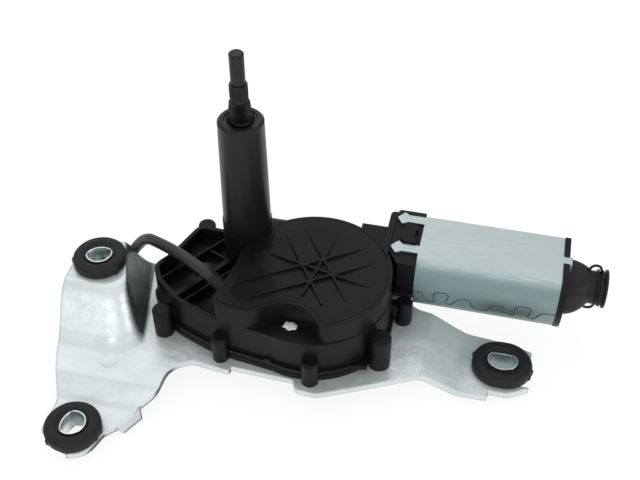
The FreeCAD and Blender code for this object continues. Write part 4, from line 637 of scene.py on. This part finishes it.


# Grommets and steel sleeves
# Three rubber grommets are pushed into the bracket's ears. A plated steel sleeve in each takes
# the clamping load of a stud; the right one is a slot.

# Fresh zinc on a turned sleeve: the brightest metal here, with a crisp light rim
# Faces turned to the front and down get painted shade, darker and colder
sleeve_zinc = zinc_finish("plated_sleeve", "#EEF1F1", "#D0D6D6", roughness=0.3, cloud_mm=5.0, scuff=0.02,
                          edge_mm=0.15)
SLEEVE_WALL_MM = 0.7
SLEEVE_PROUD_MM = 0.2
SLEEVE_BEVEL_MM = 0.2
BEVEL_WIDE_MM = 0.15
RIM_EDGE_MM = 0.12
NOTCH_DEEP_MM = 0.42
NOTCH_HALF_WIDTH = 0.1
CORNER_POWER = 14
EAR_POINTS = 144
EAR_FIT_MM = 0.02
# Each ear: half length and half width of the bore, the way its flatter side faces, that side's
# radius and how far back its centre lies, the notches' half angle, and where the nibs are
EARS = {
    "back_left": (5.5, 5.5, 114.0, 7.0, -3.9, 84.0, (200.0, 330.0)),
    "front_left": (5.5, 5.5, 173.0, 10.2, -6.3, 61.0, (125.0, -128.0, 5.7, -13.0)),
    "right": (6.2, 4.95, 90.0, 60.0, -56.85, 57.0, (164.0, -7.0, -22.0)),
}
# Head and foot of a grommet from its foot up: radius in mm, and height below its top
GROMMET_PROFILE = [(9.3, -10.0), (10.1, -9.2), (10.1, -8.02), (9.48, -7.98), (9.48, -5.5), (11.6, -5.48),
                   (12.25, -4.9), (12.3, -4.0), (12.3, -2.2), (12.1, -1.5), (11.6, -0.9), (10.9, -0.55),
                   (10.2, -0.5), (9.5, -0.2), (8.8, -0.03), (8.1, 0.0), (7.5, -0.2), (7.1, -0.6)]
NIB_MM = 0.7
NIB_HALF_WIDTH = 0.05
NIB_BAND_MM = (-5.0, -1.6)
MOUTH_DOWN_MM = 0.9
RUBBER_SHARP_DEG = 50


def hole_reach(ear, turn):
    """Distance from the axis to the edge of an ear's D shaped bore."""
    long, wide, far_deg, far_r, far_set, _, _ = EARS[ear]
    near = long * wide / math.hypot(wide * math.cos(turn), long * math.sin(turn))
    off = turn - math.radians(far_deg)
    far = far_set * math.cos(off) + math.sqrt(far_r ** 2 - (far_set * math.sin(off)) ** 2)
    return (near ** -CORNER_POWER + far ** -CORNER_POWER) ** (-1 / CORNER_POWER)


def bump_at(turn, degrees, half_width):
    """Smooth single bump round one direction."""
    off = math.remainder(turn - math.radians(degrees), 2 * math.pi)
    return math.exp(-(off / half_width) ** 2)


def looped(loops):
    """Closed ring of faces through outlines with the same number of points."""
    form = bmesh.new()
    rows = [[form.verts.new(Vector(point) * MM) for point in loop] for loop in loops]
    for lower, upper in zip(rows, rows[1:] + rows[:1]):
        for i in range(len(lower)):
            form.faces.new((lower[i], lower[(i + 1) % len(lower)], upper[(i + 1) % len(lower)], upper[i]))
    bmesh.ops.recalc_face_normals(form, faces=form.faces)
    return form


def ear_loop(centre, reach, z, stretch=0.0):
    """Outline at one height from a distance for each direction."""
    loop = []
    for i in range(EAR_POINTS):
        turn = 2 * math.pi * (i + 0.5) / EAR_POINTS
        r = reach(turn)
        side = stretch if math.cos(turn) > 0 else -stretch
        loop.append((centre[0] + r * math.cos(turn) + side, centre[1] + r * math.sin(turn), z))
    return loop


for ear, (_, _, far_deg, _, _, notch_deg, nibs) in EARS.items():
    low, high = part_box("grommet_" + ear)
    low, high = low / MM, high / MM
    centre = ((low.x + high.x) / 2, (low.y + high.y) / 2)
    stretch = (high.x - low.x - high.y + low.y) / 2
    top, foot = high.z + SLEEVE_PROUD_MM, low.z - SLEEVE_PROUD_MM

    def bore(turn):
        ways = (far_deg - notch_deg, far_deg + notch_deg)
        notch = sum(bump_at(turn, way, NOTCH_HALF_WIDTH) for way in ways)
        return hole_reach(ear, turn) + NOTCH_DEEP_MM * notch

    def wall(turn):
        return hole_reach(ear, turn) + SLEEVE_WALL_MM

    loops = [ear_loop(centre, bore, foot), ear_loop(centre, bore, top - SLEEVE_BEVEL_MM),
             ear_loop(centre, lambda turn: bore(turn) + BEVEL_WIDE_MM, top),
             ear_loop(centre, lambda turn: wall(turn) - RIM_EDGE_MM, top),
             ear_loop(centre, wall, top - RIM_EDGE_MM), ear_loop(centre, wall, foot)]
    sleeve = piece_of("steel_sleeve_" + ear, looped(loops), sleeve_zinc)
    sleeve.data.set_sharp_from_angle(angle=math.radians(METAL_SHARP_DEG))
    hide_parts("sleeve_" + ear)

    def seat(turn):
        return wall(turn) + EAR_FIT_MM

    loops = [ear_loop(centre, seat, low.z)]
    for radius, down in GROMMET_PROFILE:
        nib = NIB_MM if NIB_BAND_MM[0] < down < NIB_BAND_MM[1] else 0.0

        def outside(turn):
            return radius + nib * sum(bump_at(turn, way, NIB_HALF_WIDTH) for way in nibs)

        loops.append(ear_loop(centre, outside, high.z + down, stretch))
    loops.append(ear_loop(centre, seat, high.z - MOUTH_DOWN_MM))
    grommet = piece_of("rubber_grommet_" + ear, looped(loops), rubber_black)
    grommet.data.set_sharp_from_angle(angle=math.radians(RUBBER_SHARP_DEG))
    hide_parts("grommet_" + ear)


# Wiring lead and connector
# The wires run in a soft black tube from a rubber gland in the housing's rim, over the ribbed tray,
# down behind the bracket's ear and into a plug housing under the left arm.
LEAD_MM = 5.4
GLAND_AT = Vector((-0.9, -32.9, -14.4))
LEAD_HEADING = Vector((-0.88, 0.38, 0.28))
LEAD_STRAIGHT_MM = 11.5
CUFF_WALL_MM = 0.55
CUFF_REACH_MM = (0.5, 4.0, 8.5)
LEAD_ROUTE = [GLAND_AT, GLAND_AT + LEAD_HEADING * LEAD_STRAIGHT_MM,
              (-20.5, -22.4, -12.0), (-31.0, -15.6, -13.7),
              (-41.0, -9.4, -16.5), (-50.2, -3.2, -20.4), (-57.5, -1.2, -29.5), (-63.5, -9.5, -38.8),
              (-66.5, -24.0, -44.8), (-66.8, -38.0, -47.8), (-65.9, -57.0, -48.6)]
# Soft PVC: dark grey and smoother than the rubber, with a long highlight along its top
tube_black = moulded_finish("soft_pvc_tube", "#202021", roughness=0.38, grain_mm=2.2, depth=0.1,
                            edge_mm=0.3, sheen=0.4)
lead = run_of("wiring_tube", LEAD_ROUTE, LEAD_MM / 2, tube_black)
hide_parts("wiring_lead")
cuff = run_of("lead_cuff", [GLAND_AT + LEAD_HEADING * reach for reach in CUFF_REACH_MM],
              LEAD_MM / 2 + CUFF_WALL_MM, rubber_black)
dress("lead_gland", rubber_black)
dress("lead_connector", sleeve_black)


# Screws
# Seven thread forming screws of plated steel come up from below, through bracket and bottom cover,
# into the blind bosses of the housing.
dress("bracket_screws", tube_zinc)
